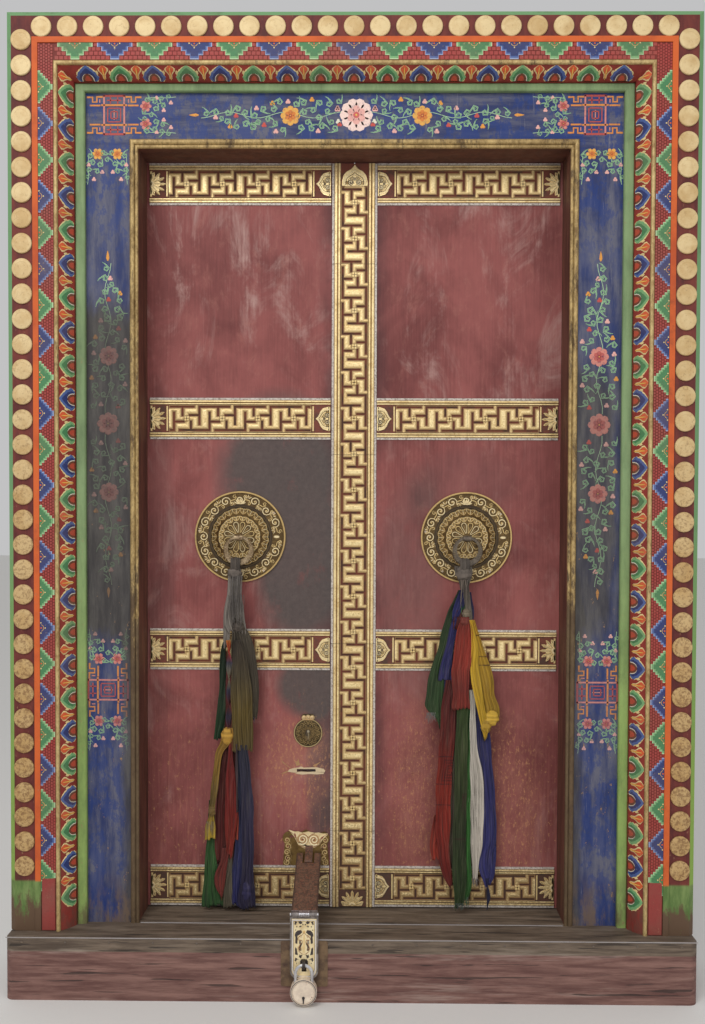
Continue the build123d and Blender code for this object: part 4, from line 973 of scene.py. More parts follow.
def member_row(name, relief, side, inner, y, first, pitch, count, finish, slot):
    """Repeats a shape along a member: left to right over the door, downwards beside it."""
    if side == "top":
        start, step = (first, y, HEAD_BOTTOM + inner), (pitch, 0, 0)
    else:
        hand = 1 if side == "right" else -1
        start, step = (hand * (HALF_OPENING + inner), y, first), (0, 0, -pitch)
    return row(f"{name}_{side}", relief, count, start, step, finish, "frame", slot)


PETAL_WIDTHS = ((0.0, 54), (0.1, 70), (0.24, 76), (0.34, 66), (0.43, 63), (0.53, 58), (0.61, 44),
                (0.68, 41), (0.79, 26), (0.85, 20), (0.95, 5))
HEART_WIDTHS = ((0.0, 36), (0.14, 35), (0.26, 29), (0.35, 19), (0.41, 6))
BUD_WIDTHS = ((0.14, 4), (0.36, 6), (0.5, 15), (0.6, 24), (0.74, 26), (0.84, 17), (0.95, 4))
RAY_WIDTHS = ((0.08, 2.5), (0.4, 4), (0.62, 3), (0.78, 1.5))
WING_WIDTHS = ((0.42, 3), (0.5, 6), (0.6, 4))


def rising(relief, width, profile, extra, high, colour, across=0.0, lean=0.0):
    """A stroke that runs outwards across a member, as wide as its profile says."""
    path = [(across + lean * share, share * width) for share, _ in profile]
    relief.stroke(path, [wide + extra for _, wide in profile], -1.0, high, colour, 0.12)


def shrunk(profile, length, breadth):
    """A profile made shorter and narrower."""
    return tuple((share * length, wide * breadth) for share, wide in profile)


def cove(width):
    """How far the petal moulding falls back, outwards from its inner edge."""
    return lambda v: -PETAL_FALL * v / width - 4 * PETAL_BULGE * (v / width) * (1 - v / width)


def petal_shape(side, width, paints):
    """A scalloped lotus petal with its half-oval heart."""
    relief = Relief(member_face(side, cove(width)))
    rising(relief, width, PETAL_WIDTHS, 6, 0.8, CREAM)
    rising(relief, width, PETAL_WIDTHS, 0, 1.5, paints[1])
    rising(relief, width, shrunk(PETAL_WIDTHS, 0.8, 0.78), 0, 2.0, paints[2])
    rising(relief, width, HEART_WIDTHS, 7, 2.5, IVORY)
    rising(relief, width, HEART_WIDTHS, 1, 3.0, HEART_BROWN)
    rising(relief, width, shrunk(HEART_WIDTHS, 0.7, 0.6), 0, 3.4, HEART_RED)
    return relief


def bud_shape(side, width):
    """An orange bud with side petals and a yellow ray, between two petals."""
    relief = Relief(member_face(side, cove(width)))
    for hand in (-1, 1):
        rising(relief, width, WING_WIDTHS, 0, 1.6, CREAM, hand * 6, hand * 22)
    rising(relief, width, BUD_WIDTHS, 5, 1.6, CREAM)
    rising(relief, width, BUD_WIDTHS, 0, 2.6, ORANGE)
    rising(relief, width, RAY_WIDTHS, 0, 3.4, YELLOW)
    return relief


def stair(half, depth, top, steps):
    """A stepped triangle standing on v = top, with its point towards the doorway."""
    left = []
    for level in range(steps):
        across = half * (1 - level / steps)
        left += [(-across, top - depth * level / steps), (-across, top - depth * (level + 1) / steps)]
    return left + [(-u, v) for u, v in reversed(left)]


def stair_shape(side, width, half, steps, paints):
    """One stepped motif, pale at its edge and deep inside, with half a flower at its foot."""
    relief = Relief(member_face(side))
    for inset, rise, paint in ((0.0, 1.6, paints[0]), (3.2, 2.1, paints[1]), (8.5, 2.6, paints[2])):
        relief.plate(stair(half - inset, width - inset - 2, width - 0.5, steps), -0.5, rise, paint)
    turns = [math.pi * share / 8 for share in range(1, 8)]
    arc = [(10 * math.cos(turn), width - 11 * math.sin(turn)) for turn in turns]
    relief.stroke(arc, [2.4] * len(arc), 0, 3.2, OCHRE)
    for u, v in ((-14, 3), (14, 3), (0, 15)):
        relief.dome(u, width - v, ((2.6, 0), (2.0, 3.2)), 6, CREAM)
    relief.dome(0, width - 4, ((3.4, 0), (2.4, 3.2)), 6, ORANGE)
    return relief


def brick_shape(side, width, courses, brick):
    """One brick of every course across the carving, staggered, with open joints."""
    relief = Relief(member_face(side))
    joint = 1.1
    height = width / courses
    for course in range(courses):
        foot = (course % 2) * brick / 2
        head = foot + brick - joint
        near, far = course * height + joint, (course + 1) * height
        relief.plate([(foot, near), (head, near), (head, far), (foot, far)], -0.5, 1.1, BRICK_RED, 0.6)
    return relief


def disc_shape(radius):
    """A turned wooden disc with a rounded edge and a faint ring."""
    relief = Relief()
    edge = ((radius, -0.5), (radius, 4.0), (radius - 1.7, 5.8))
    relief.dome(0, 0, (*edge, (radius * 0.66, 6.6), (radius * 0.64, 6.1), (radius * 0.2, 6.9)), 24,
                OLD_GOLD)
    return relief


PETALS = {
    "left": (184.4, (("green", GREENS, 2476.9, 13), ("blue", BLUES, 2384.7, 12)), (2523.0, 25)),
    "top": (182.5, (("blue", BLUES, -730.0, 9), ("green", GREENS, -638.75, 8)), (-684.4, 16)),
}
STEPS = {
    "left": (44, 6, 196.4, (("green", GREENS, 2489.7, 12), ("blue", BLUES, 2391.5, 11)),
             (2596.0, 6, 8.2, 278)),
    "top": (48, 4, 216.3, (("green", GREENS, -757.0, 8), ("blue", BLUES, -648.85, 7)),
            (-813.0, 4, 12.6, 129)),
}
PETALS["right"] = PETALS["left"]
STEPS["right"] = STEPS["left"]


def carve_petals(paint):
    """The lotus petals of the curved moulding, green and blue by turns, with buds between."""
    for side in SIDES:
        inner, width = across("petal_moulding", side)
        pitch, petals, (first_bud, buds) = PETALS[side]
        for name, paints, first, count in petals:
            member_row(f"{name}_petals", petal_shape(side, width, paints), side, inner, PETAL_FACE, first,
                       pitch,
                       count, paint, "petal_paint")
        member_row("petal_buds", bud_shape(side, width), side, inner, PETAL_FACE, first_bud, pitch / 2,
                   buds, paint,
                   "petal_paint")


def carve_steps(paint):
    """The stepped carving: bricks all over, and stepped shapes that leave pyramids of them."""
    for side in SIDES:
        inner, width = across("stepped_board", side)
        half, levels, pitch, stairs, (first_brick, courses, brick, bricks) = STEPS[side]
        for name, paints, first, count in stairs:
            member_row(f"{name}_steps", stair_shape(side, width, half, levels, paints), side, inner,
                       CARVED_FACE,
                       first, pitch, count, paint, "stepped_paint")
        member_row("bricks", brick_shape(side, width, courses, brick), side, inner, CARVED_FACE,
                   first_brick, brick,
                   bricks, paint, "stepped_paint")
    feet = Relief()
    for left, right in ((-857, -819), (819, 857)):
        outline = [(left, 176), (right, 176), (right, 322), (left, 322)]
        feet.plate(outline, 0.5 - CARVED_FACE - 1, 3.2 - CARVED_FACE, rgb(142, 52, 46), 1.2)
    feet.piece("step_feet", paint, "frame", "stepped_paint")


def carve_discs(gilding):
    """The row of turned discs on the outermost board."""
    rows = (("left", 34, (-904.0, CARVED_FACE, 2616.0), (0, 0, -68.5)),
            ("right", 34, (904.0, CARVED_FACE, 2616.0), (0, 0, -68.5)),
            ("top", 25, (-848.4, CARVED_FACE, 2651.0), (70.7, 0, 0)))
    for side, count, start, step in rows:
        row(f"discs_{side}", disc_shape(DISC_RADIUS), count, start, step, gilding, "frame",
            "disc_board_paint")


carve_petals(CARVING_PAINT)
carve_steps(CARVING_PAINT)
carve_discs(DISC_GILDING)


# The painted garlands and fret knots of the blue boards

LEAF_PALE = rgb(172, 204, 160)
LEAF_GREEN = rgb(72, 132, 92)
ROSE = (rgb(206, 130, 116), rgb(182, 88, 80), rgb(150, 56, 52))
PEONY = (rgb(238, 208, 196), rgb(226, 168, 156), rgb(200, 96, 88))
MARIGOLD = (rgb(222, 164, 74), rgb(208, 122, 50), rgb(170, 74, 38))
BUD_PINK = rgb(226, 170, 160)
BUD_RED = rgb(194, 78, 66)
BUD_ORANGE = rgb(220, 150, 60)
KNOT_RED = rgb(176, 72, 64)
KNOT_PINK = rgb(204, 130, 118)
KNOT_ORANGE = rgb(212, 134, 58)
PAINT_RISE = 0.7
GARLAND_TIP = 483.0
GARLAND_CURLS = (
    (5, 434, 9), (8, 406, 10), (-10, 390, 8), (-20, 372, 10), (8, 370, 10), (-34, 345, 9), (18, 342, 10),
    (7, 320, 10), (-27, 318, 11), (-35, 296, 11), (0, 294, 11), (-20, 284, 9), (18, 267, 10), (-13, 254, 9),
    (18, 239, 10), (39, 222, 10), (-25, 235, 9), (-45, 212, 9), (34, 173, 10), (37, 153, 10), (8, 151, 10),
    (-38, 160, 10), (-22, 140, 9), (-40, 128, 10), (14, 126, 9), (35, 106,
                                                                  10), (-8, 108, 10), (-34, 98, 10),
    (34, 79, 10), (-20, 72, 9), (-40, 62, 10), (12, 82, 9), (42, 50, 9))
GARLAND_BUDS = (
    (-7, 406, BUD_PINK), (-34, 364, BUD_ORANGE), (-2, 347, BUD_RED), (20, 288,
                                                                      BUD_PINK), (-30, 266, BUD_RED),
    (35, 242, BUD_ORANGE), (-49, 232, BUD_PINK), (40, 197, BUD_PINK), (20, 54,
                                                                       BUD_PINK), (-48, 110, BUD_PINK),
    (-28, 48, BUD_RED), (46, 128, BUD_ORANGE))
KNOT_CURLS = ((-46, 92, 9), (-10, 84, 8), (10, 84, 8), (46, 92, 9), (-40, 112, 9), (-20, 116, 9),
              (20, 116, 9),
              (40, 112, 9), (-48, 132, 8), (-28, 136, 8), (28, 136,
                                                           8), (48, 132, 8), (0, 104, 8), (-54, 152, 7),
              (54, 152, 7))


def curl_shape():
    """A curled leaf of radius 10, a pale line with a green one on it."""
    relief = Relief()
    path = []
    for share in (0, 0.16, 0.32, 0.48, 0.64, 0.82, 1.0):
        path.append(polar(2.6 + 8.6 * share, 2.5 * math.pi * share))
    path += [(-4, 15), (-12, 19)]
    relief.stroke(path, [5.6, 5.2, 4.4, 4.4, 4.8, 4.8, 4.0, 2.8, 1.4], 0, PAINT_RISE, LEAF_PALE, 0.1)
    relief.stroke(path, [3.4, 2.6, 1.8, 1.8, 2.2, 2.2, 1.6, 0.9, 0.5], 0, PAINT_RISE + 0.25, LEAF_GREEN,
                  0.1)
    return relief


def blossom(relief, u, v, radius, colours, petals=8):
    """A round flower: a ring of lobes, a second ring on it, and a heart."""
    for ring, (reach, lobe, count) in enumerate(((0.68, 0.35, petals), (0.36, 0.27, 6), (0.0, 0.24, 1))):
        for place in range(count):
            turn = 2 * math.pi * (place + 0.5 * ring) / count
            rings = ((radius * lobe, 0), (radius * lobe * 0.8, PAINT_RISE + 0.35 * ring))
            relief.dome(*polar(radius * reach, turn, u, v), rings, 8, colours[ring])
    relief.dome(u, v, ((radius * 0.1, 0), (radius * 0.06, PAINT_RISE + 1.2)), 6, YELLOW)


def bud(relief, u, v, colour, size=7.0):
    """Three small lobes."""
    for turn in (90, 210, 330):
        rings = ((size * 0.62, 0), (size * 0.45, PAINT_RISE))
        relief.dome(*polar(size * 0.5, math.radians(turn), u, v), rings, 6, colour)


def garland(relief, curls, place, rose):
    """Half a garland; place turns (across, along) into (x, z)."""
    for index, (across, along, radius) in enumerate(GARLAND_CURLS):
        x, z = place(across, along)
        curls.append((x, z, (index * 77) % 360, radius / 10, 1 if across > 0 else -1))
    for across, along, colour in GARLAND_BUDS:
        bud(relief, *place(across, along), colour)
    tip = [place(0, GARLAND_TIP - step) for step in (0, 10, 20, 28)]
    relief.stroke(tip, [1.5, 6, 9, 3], 0, PAINT_RISE, BUD_ORANGE, 0.2)
    stem = [place(9 * math.sin(along / 26), along) for along in range(30, 456, 19)]
    relief.stroke(stem, [1.8] * len(stem), 0, PAINT_RISE * 0.7, LEAF_PALE, 0.2)
    blossom(relief, *place(-2, 190), 27, rose)


def fret_knot(relief, place):
    """A fret of red and orange lines, drawn as (across, along) about its centre."""
    def line(points, width, colour):
        relief.stroke([place(u, v) for u, v in points], [width] * len(points), 0, PAINT_RISE, colour, 0.1)

    for hand in (-1, 1):
        line(((56 * hand, -31), (56 * hand, 31)), 6, KNOT_RED)
        line(((43 * hand, -20), (43 * hand, 20)), 4, KNOT_RED)
        line(((29 * hand, -36), (29 * hand, 36)), 5.4, KNOT_ORANGE)
        line(((-58, 28 * hand), (58, 28 * hand)), 5, KNOT_PINK)
        for ends in (((33 * hand, 10), (52 * hand, 10)), ((33 * hand, -10), (52 * hand, -10)),
                     ((-20, 18 * hand), (20, 18 * hand)), ((20 * hand, -16), (20 * hand, 16)),
                     ((10 * hand, -9), (10 * hand, 9)), ((-10, 9 * hand), (10, 9 * hand))):
            line(ends, 3.4, KNOT_RED)
        for side in (-1, 1):
            line(((53 * side, 32 * hand), (53 * side, 48 * hand), (38 * side, 48 * hand),
                  (38 * side, 60 * hand), (52 * side, 60 * hand), (52 * side, 76 * hand)), 5.6, KNOT_ORANGE)
            line(((28 * side, 38 * hand), (28 * side, 68 * hand)), 5, KNOT_ORANGE)
            line(((36 * side, 40 * hand), (46 * side, 40 * hand)), 3.2, KNOT_PINK)
    line(((-14, 0), (14, 0)), 3.2, KNOT_PINK)


def knot_flowers(relief, curls, place, colours, end):
    """The flowers, leaves and pendants at one end of a knot; end is 1 or -1."""
    for hand in (-1, 1):
        blossom(relief, *place(26 * hand, 88 * end), 16, colours, 6)
        for across, along in ((50, 118), (14, 138), (36, 158)):
            bud(relief, *place(across * hand, along * end), BUD_PINK, 6)
        fringe = [place(across * hand, along * end) for across,
                  along in ((50, 96), (52, 120), (50, 146), (53, 172))]
        relief.stroke(fringe, [1.6] * len(fringe), 0, PAINT_RISE * 0.7, LEAF_PALE, 0.2)
    for index, (across, along, radius) in enumerate(KNOT_CURLS):
        x, z = place(across, along * end)
        curls.append((x, z, (index * 113) % 360, radius / 10, 1 if across > 0 else -1))


def paint_lintel(relief, curls):
    """A peony between two marigolds and two half garlands that run to the corners."""
    middle, height = 6, 2439.0
    for hand in (-1, 1):
        def level(across, along, hand=hand):
            return middle + hand * 0.962 * along, height + 0.92 * across
        garland(relief, curls, level, MARIGOLD)
        bud(relief, middle + hand * 52, height + 16, BUD_PINK, 8)
        bud(relief, middle + hand * 50, height - 18, IVORY, 7)
    blossom(relief, middle, height, 45, PEONY, 10)


def paint_post(relief, curls, hand):
    """Two half garlands from one rose, with a fret knot below and another in the corner."""
    middle = hand * 686.0
    for way in (-1, 1):
        def upright(across, along, way=way):
            return middle + hand * across, 1584 + way * along * (0.995 if way > 0 else 1.01)
        garland(relief, curls, upright, ROSE)
    blossom(relief, middle, 1584, 31, ROSE)

    def low(across, along):
        return middle + hand * (across + 2), 835 + along
    fret_knot(relief, low)
    knot_flowers(relief, curls, low, ROSE, 1)
    knot_flowers(relief, curls, low, ROSE, -1)

    def corner(across, along):
        return hand * (667 - along), 2439 + 0.94 * across
    fret_knot(relief, corner)
    knot_flowers(relief, curls, corner, ROSE, 1)

    def below(across, along):
        return hand * (686 + across * 1.05), 2420 + along
    knot_flowers(relief, curls, below, MARIGOLD, -1)


def paint_boards(finish):
    """All ornament of the lintel and the posts."""
    relief = Relief(front(BOARD_FACE))
    curls = []
    paint_lintel(relief, curls)
    for hand in (-1, 1):
        paint_post(relief, curls, hand)
    relief.piece("board_flowers", finish, "frame", "post_paint")
    scatter("board_leaves", curl_shape(), curls, BOARD_FACE, finish, "frame", "post_paint")


paint_boards(BOARD_ORNAMENT_PAINT)


# Chased and engraved brass: bands, bosses, pull rings

BRASS_BRIGHT = rgb(228, 200, 140)
BRASS_PALE = rgb(240, 222, 178)
BRASS_MID = rgb(176, 144, 90)
ENGRAVED = rgb(62, 44, 30)
SCREW_PALE = rgb(176, 160, 150)
RING_Z = 1227.0
BAND_FACE = -5.5
ASTRAGAL_FACE = -5.9


def spiral(u, v, start, turns, inner, outer, steps, hand=1):
    """Points of a spiral that opens outwards."""
    path = []
    for step in range(steps + 1):
        share = step / steps
        path.append(polar(inner + (outer - inner) * share, start + hand * 2 * math.pi * turns * share, u,
                          v))
    return path


def swelling(count, thin, thick):
    """Widths of a line that is thickest in its middle."""
    return [thin + (thick - thin) * math.sin(math.pi * step / (count - 1)) for step in range(count)]


def draw(relief, path, thin, thick, high, colour):
    """A raised line that swells in its middle."""
    relief.stroke(path, swelling(len(path), thin, thick), 0, high, colour, 0.22)


def lotus_detail():
    """A fan of long petals at the foot of a fret, opening towards +X, with a vein in each."""
    relief = Relief()
    petals = ((0, 45, 9), (24, 44, 9), (-24, 44, 9), (48, 41, 9), (-48, 41, 9), (70, 35, 8), (-70, 35, 8))
    for angle, far, wide in petals:
        lines = ((7, far, wide, 0.8, BRASS_BRIGHT), (12, far - 4, 2.4, 1.3, ENGRAVED),
                 (18, far - 9, 1.2, 1.7, BRASS_PALE))
        for near, tip, width, high, colour in lines:
            reaches = [near + (tip - near) * share for share in (0, 0.25, 0.55, 0.8, 1)]
            path = [polar(reach, math.radians(angle), 1) for reach in reaches]
            widths = [width * share for share in (0.35, 0.6, 0.9, 1, 0.25)]
            if near > 7:
                relief.stroke(path, widths, 0, high, colour, 0.2)
            else:
                relief.stroke([(max(u, 2.0), v) for u, v in path], widths, -2.5, high, colour, 0.25)
    for angle in (-60, -20, 20, 60):
        relief.dome(*polar(7, math.radians(angle), 3), ((3.4, 0), (2.2, 1.9)), 7, BRASS_PALE)
    return relief


def cap_detail():
    """Scrolls and a bud inside the pointed cap at the head of a fret, pointing along +X."""
    relief = Relief()
    shapes = ((1.0, 3.4, 1.5, BRASS_PALE), (0.84, 2.2, 0.7, ENGRAVED), (0.7, 1.6, 1.4, BRASS_MID))
    half_rim = ((3, 27), (12, 27), (23, 23), (29, 15), (34, 6), (39, 0))
    rim = half_rim + tuple((u, -v) for u, v in half_rim[-2::-1])
    for scale, width, high, colour in shapes:
        path = [(3 + (u - 3) * scale, v * scale) for u, v in rim]
        relief.stroke(path, [width] * len(path), 0, high, colour, 0.25)
    for hand in (-1, 1):
        scrolls = ((9, 10, 6.5, BRASS_PALE), (18, 6.5, 4.2, BRASS_BRIGHT), (8, 18.5, 3.4, BRASS_MID))
        for u, v, reach, colour in scrolls:
            relief.dome(u, v * hand, ((reach + 1.2, 0), (reach + 0.6, 0.5)), 10, ENGRAVED)
            draw(relief, spiral(u, v * hand, math.pi * hand, 1.15, 1.0, reach, 8, hand), 1.2, 2.2, 1.6,
                 colour)
    relief.plate([(12, 0), (17, 4.2), (22, 0), (17, -4.2)], 0, 0.9, ENGRAVED, 0.3)
    draw(relief, [(22, 0), (26, 1.5), (30, 0)], 1.2, 3.6, 1.6, BRASS_PALE)
    return relief


def rosette_detail():
    """Four petals and a point on a dark ground, at the middle of every fret unit."""
    relief = Relief()
    relief.dome(0, 0, ((9.6, 0), (9.0, 0.35)), 14, rgb(122, 88, 52))
    for quarter in range(4):
        turn = math.pi / 4 + quarter * math.pi / 2
        relief.dome(*polar(5.2, turn), ((3.9, 0.2), (2.6, 1.5)), 8, BRASS_BRIGHT)
        line = [polar(reach, quarter * math.pi / 2) for reach in (4, 8, 12.5)]
        draw(relief, line, 1.0, 2.2, 1.3, BRASS_MID)
    relief.dome(0, 0, ((2.4, 0.2), (1.5, 2.0)), 8, ENGRAVED)
    return relief


def chase_bands(finish):
    """The lotus, the cap and the rosettes of every band and of the astragal."""
    shapes = (("lotus", lotus_detail(), (1.0,), 0), ("caps", cap_detail(), (524.0,), 180),
              ("rosettes", rosette_detail(), FRET_CENTRES, 0))
    for name, relief, distances, turned in shapes:
        for side, hand in LEAVES:
            turn = (0 if side < 0 else 180) + turned
            places = [(side * (BAND_END - distance), height, turn, 1, 1)
                      for distance in distances for height in BAND_HEIGHTS]
            body = f"{hand}_leaf"
            scatter(f"{body}_band_{name}", relief, places, BAND_FACE, finish, body, "band_brass")
    for side, hand in LEAVES:
        relief = Relief(front(0))
        for height in BAND_HEIGHTS:
            for distance, width in ((4.5, 6), (50.5, 5), (474.5, 5), (520, 4)):
                x = side * (BAND_END - distance)
                relief.bar(x, height - 34, x, height + 34, width, 2.5, 5.5, BRASS_BRIGHT, 0.8)
        relief.piece(f"{hand}_leaf_band_bars", finish, f"{hand}_leaf", "band_brass")
    units = [(ASTRAGAL_X, ASTRAGAL_TOP_FRET - FRET_PERIOD * unit, 0, 1, 1) for unit in range(20)]
    for name, relief, places in (("cap", cap_detail(), [(ASTRAGAL_X, 2278, 90, 1.15, 1)]),
                                 ("lotus", lotus_detail(), [(ASTRAGAL_X, 182, 90, 1, 1)]),
                                 ("rosettes", rosette_detail(), units)):
        scatter(f"astragal_{name}", relief, places, ASTRAGAL_FACE, finish, "right_leaf", "band_brass")


RING_ROUND = 106.0
CONE_ROUND = 73.0


def boss_face(side, round_radius, depth):
    """Places ornament round a boss: u runs along the circle, v is the radius."""
    def place(u, v, rise):
        turn = u / round_radius
        x, z = polar(v, turn, side * BOSS_X, BOSS_Z)
        return x, depth(v) - rise, z
    return place


def ring_scrolls(relief):
    """A dense vine of curled scrolls round the flat ring, with palmettes, a plain oval and four screws."""
    count = 16
    pitch = 2 * math.pi * RING_ROUND / count
    for unit in range(count):
        hand = 1 if unit % 2 else -1
        u, v = unit * pitch, 108.5 + 1.5 * hand
        if unit:
            draw(relief, spiral(u, v, hand * 1.2, 1.4, 2.6, 14.2, 14, hand), 2.0, 3.8, 2.2, BRASS_PALE)
            relief.dome(u, v, ((2.8, 0), (1.8, 2.4)), 8, BRASS_BRIGHT)
        link = [(u + 9, v - 9 * hand), (u + pitch * 0.36, v - 2 * hand), (u + pitch * 0.5, 108.5),
                (u + pitch * 0.64, v - 1 * hand), (u + pitch - 9, v + 7 * hand)]
        draw(relief, link, 1.4, 3.0, 1.8, BRASS_BRIGHT)
        for lean in (-1, 1):
            draw(relief, spiral(u + lean * pitch * 0.34, v - hand * 11, lean * 1.4, 1.1, 1.4, 5.8, 7,
                                -hand * lean),
                 1.2, 2.4, 1.7, BRASS_BRIGHT)
        for petal in range(-2, 3):
            turn = math.pi / 2 * hand + petal * 0.42
            base = (u + pitch / 2, 108.5 + 2.5 * hand)
            path = [polar(reach, turn, *base) for reach in (3, 8, 13.5)]
            draw(relief, path, 0.9, 3.2, 1.8, BRASS_MID if petal % 2 else BRASS_PALE)
    for petal in range(-3, 4):
        for middle in (count / 4, count * 3 / 4):
            turn = math.radians(90 + petal * 23)
            path = [polar(reach, turn, middle * pitch, 94) for reach in (4, 9, 14, 18)]
            draw(relief, path, 1.0, 4.6, 2.8, BRASS_PALE)
    oval = [(4.5 * math.cos(a), 106 + 9 * math.sin(a)) for a in (math.pi * step / 6 for step in range(12))]
    relief.plate(oval, 0, 3.0, BRASS_PALE, 1.5)
    for degrees in (35, 172, 235, 305):
        relief.dome(math.radians(degrees) * RING_ROUND, 120.5, ((3.2, 0), (2.6, 1.8), (1.0, 2.4)), 8,
                    SCREW_PALE)


def dome_depth(radius):
    """How deep the boss lies at a distance from its middle."""
    return -1.5 - (86 - max(radius, 62)) / 24 * 22.5


def dome_scrolls(relief):
    """Dense leaf scrolls on the slope of the dome and on its crown, round the rosette."""
    for count, base, long in ((22, 66, 17), (22, 84, -8), (18, 46, 14), (18, 60.5, -7)):
        pitch = 2 * math.pi * CONE_ROUND / count
        for unit in range(count):
            u = (unit + (0.5 if long < 0 else 0)) * pitch
            for lean in (-2, -1, 0, 1, 2):
                reach = long * (1 - 0.16 * abs(lean))
                path = [(u, base), (u + lean * pitch * 0.16, base + reach * 0.45),
                        (u + lean * pitch * 0.23, base + reach)]
                colour = (BRASS_PALE, BRASS_MID, BRASS_BRIGHT)[abs(lean)]
                relief.stroke(path, [1.0, 3.4 * pitch / 24, 1.2], 0, 1.8, colour, 0.22)


def petal_loops(relief):
    """A thick doubled line round each petal of the rosette, dark inside."""
    outline = ((13, 0.8), (20, 2.6), (28, 5.0), (35, 6.9), (40, 6.0), (43, 3.0), (43.8, 0))
    for petal in range(12):
        angle = math.radians(30 * petal + 15)
        path = []
        for reach, across in outline + tuple((reach, -across) for reach, across in outline[-2::-1]):
            path.append((reach * math.cos(angle) - across * math.sin(angle),
                         reach * math.sin(angle) + across * math.cos(angle)))
        relief.stroke(path, [2.6] * len(path), -3.5, 1.8, BRASS_PALE if petal % 2 else BRASS_BRIGHT, 0.25)
        vein = [polar(reach, angle) for reach in (20, 27, 34, 38)]
        relief.stroke(vein, [1.4, 3.6, 5.6, 3.0], -0.5, 0.5, ENGRAVED, 0.2)
        relief.stroke(vein[:3], [0.6, 1.6, 1.0], 0, 1.3, BRASS_MID, 0.2)


def chase_bosses(finish):
    """The ornament of both bosses and the twisted bands of their pull rings."""
    for side, name in LEAVES:
        body = f"{name}_leaf"
        ring = Relief(boss_face(side, RING_ROUND, lambda v: -4.0))
        ring_scrolls(ring)
        ring.piece(f"{name}_boss_scrolls", finish, body, "boss_brass")
        cone = Relief(boss_face(side, CONE_ROUND, dome_depth))
        dome_scrolls(cone)
        cone.piece(f"{name}_boss_leaves", finish, body, "boss_brass")
        centre = side * BOSS_X
        rose = Relief(lambda u, v, rise, centre=centre: (centre + u, BOSS_FRONT - rise, BOSS_Z + v))
        petal_loops(rose)
        rose.piece(f"{name}_boss_petals", finish, body, "boss_brass")
        twist = Relief(lambda u, v, rise, centre=centre: (centre + u, -49.2 - rise, RING_Z + v))
        for hand in (-1, 1):
            for step in range(11):
                angle = math.radians(-38 + 8 * step)
                near, far = 31 + 5 * math.sin(angle) + 1.6, 42.0
                path = [polar(near + (far - near) * share, angle + 0.10 * (share - 0.5))
                        for share in (0, 0.5, 1)]
                path = [(hand * u, v) for u, v in path]
                draw(twist, path, 1.6, 2.6, 1.0, rgb(128, 106, 80) if side < 0 else rgb(66, 60, 54))
        twist.piece(f"{name}_ring_twist", finish, f"{name}_pull_ring", "ring_brass")


chase_bands(BAND_ORNAMENT)
chase_bosses(BOSS_ORNAMENT)


# The lock side: key plate, torn slot, cloud plate, hasp, padlock and the threshold's edges

CREAM_GOLD = rgb(226, 204, 156)
DULL_GOLD = rgb(136, 110, 66)
RUST_RED = rgb(128, 58, 42)
TORN_WOOD = rgb(206, 184, 148)
TORN_DEEP = rgb(168, 128, 84)
# Near black painted into key holes, slots and piercings: painted shade.
HOLE_SHADE = rgb(48, 42, 44)
WHITE_METAL = rgb(216, 212, 210)
KEY_PLACE = (-130.0, 692.5)
PADLOCK_PLACE = (HASP_X, 42.5)
PADLOCK_FACE = -274.0


def round_face(place, depth):
    """Places ornament round a centre on a dished face; u is the angle in radians, v the radius."""
    return lambda u, v, rise: (place[0] + v * math.cos(u), depth(v) - rise, place[1] + v * math.sin(u))


def ring_line(relief, radius, width, high, colour, steps=40):
    """A raised circle on a round face."""
    turns = [2 * math.pi * step / steps for step in range(steps + 1)]
    inner, outer = radius - width / 2, radius + width / 2
    for before, after in zip(turns, turns[1:]):
        relief.plate([(before, inner), (after, inner), (after, outer), (before, outer)], 0, high, colour)


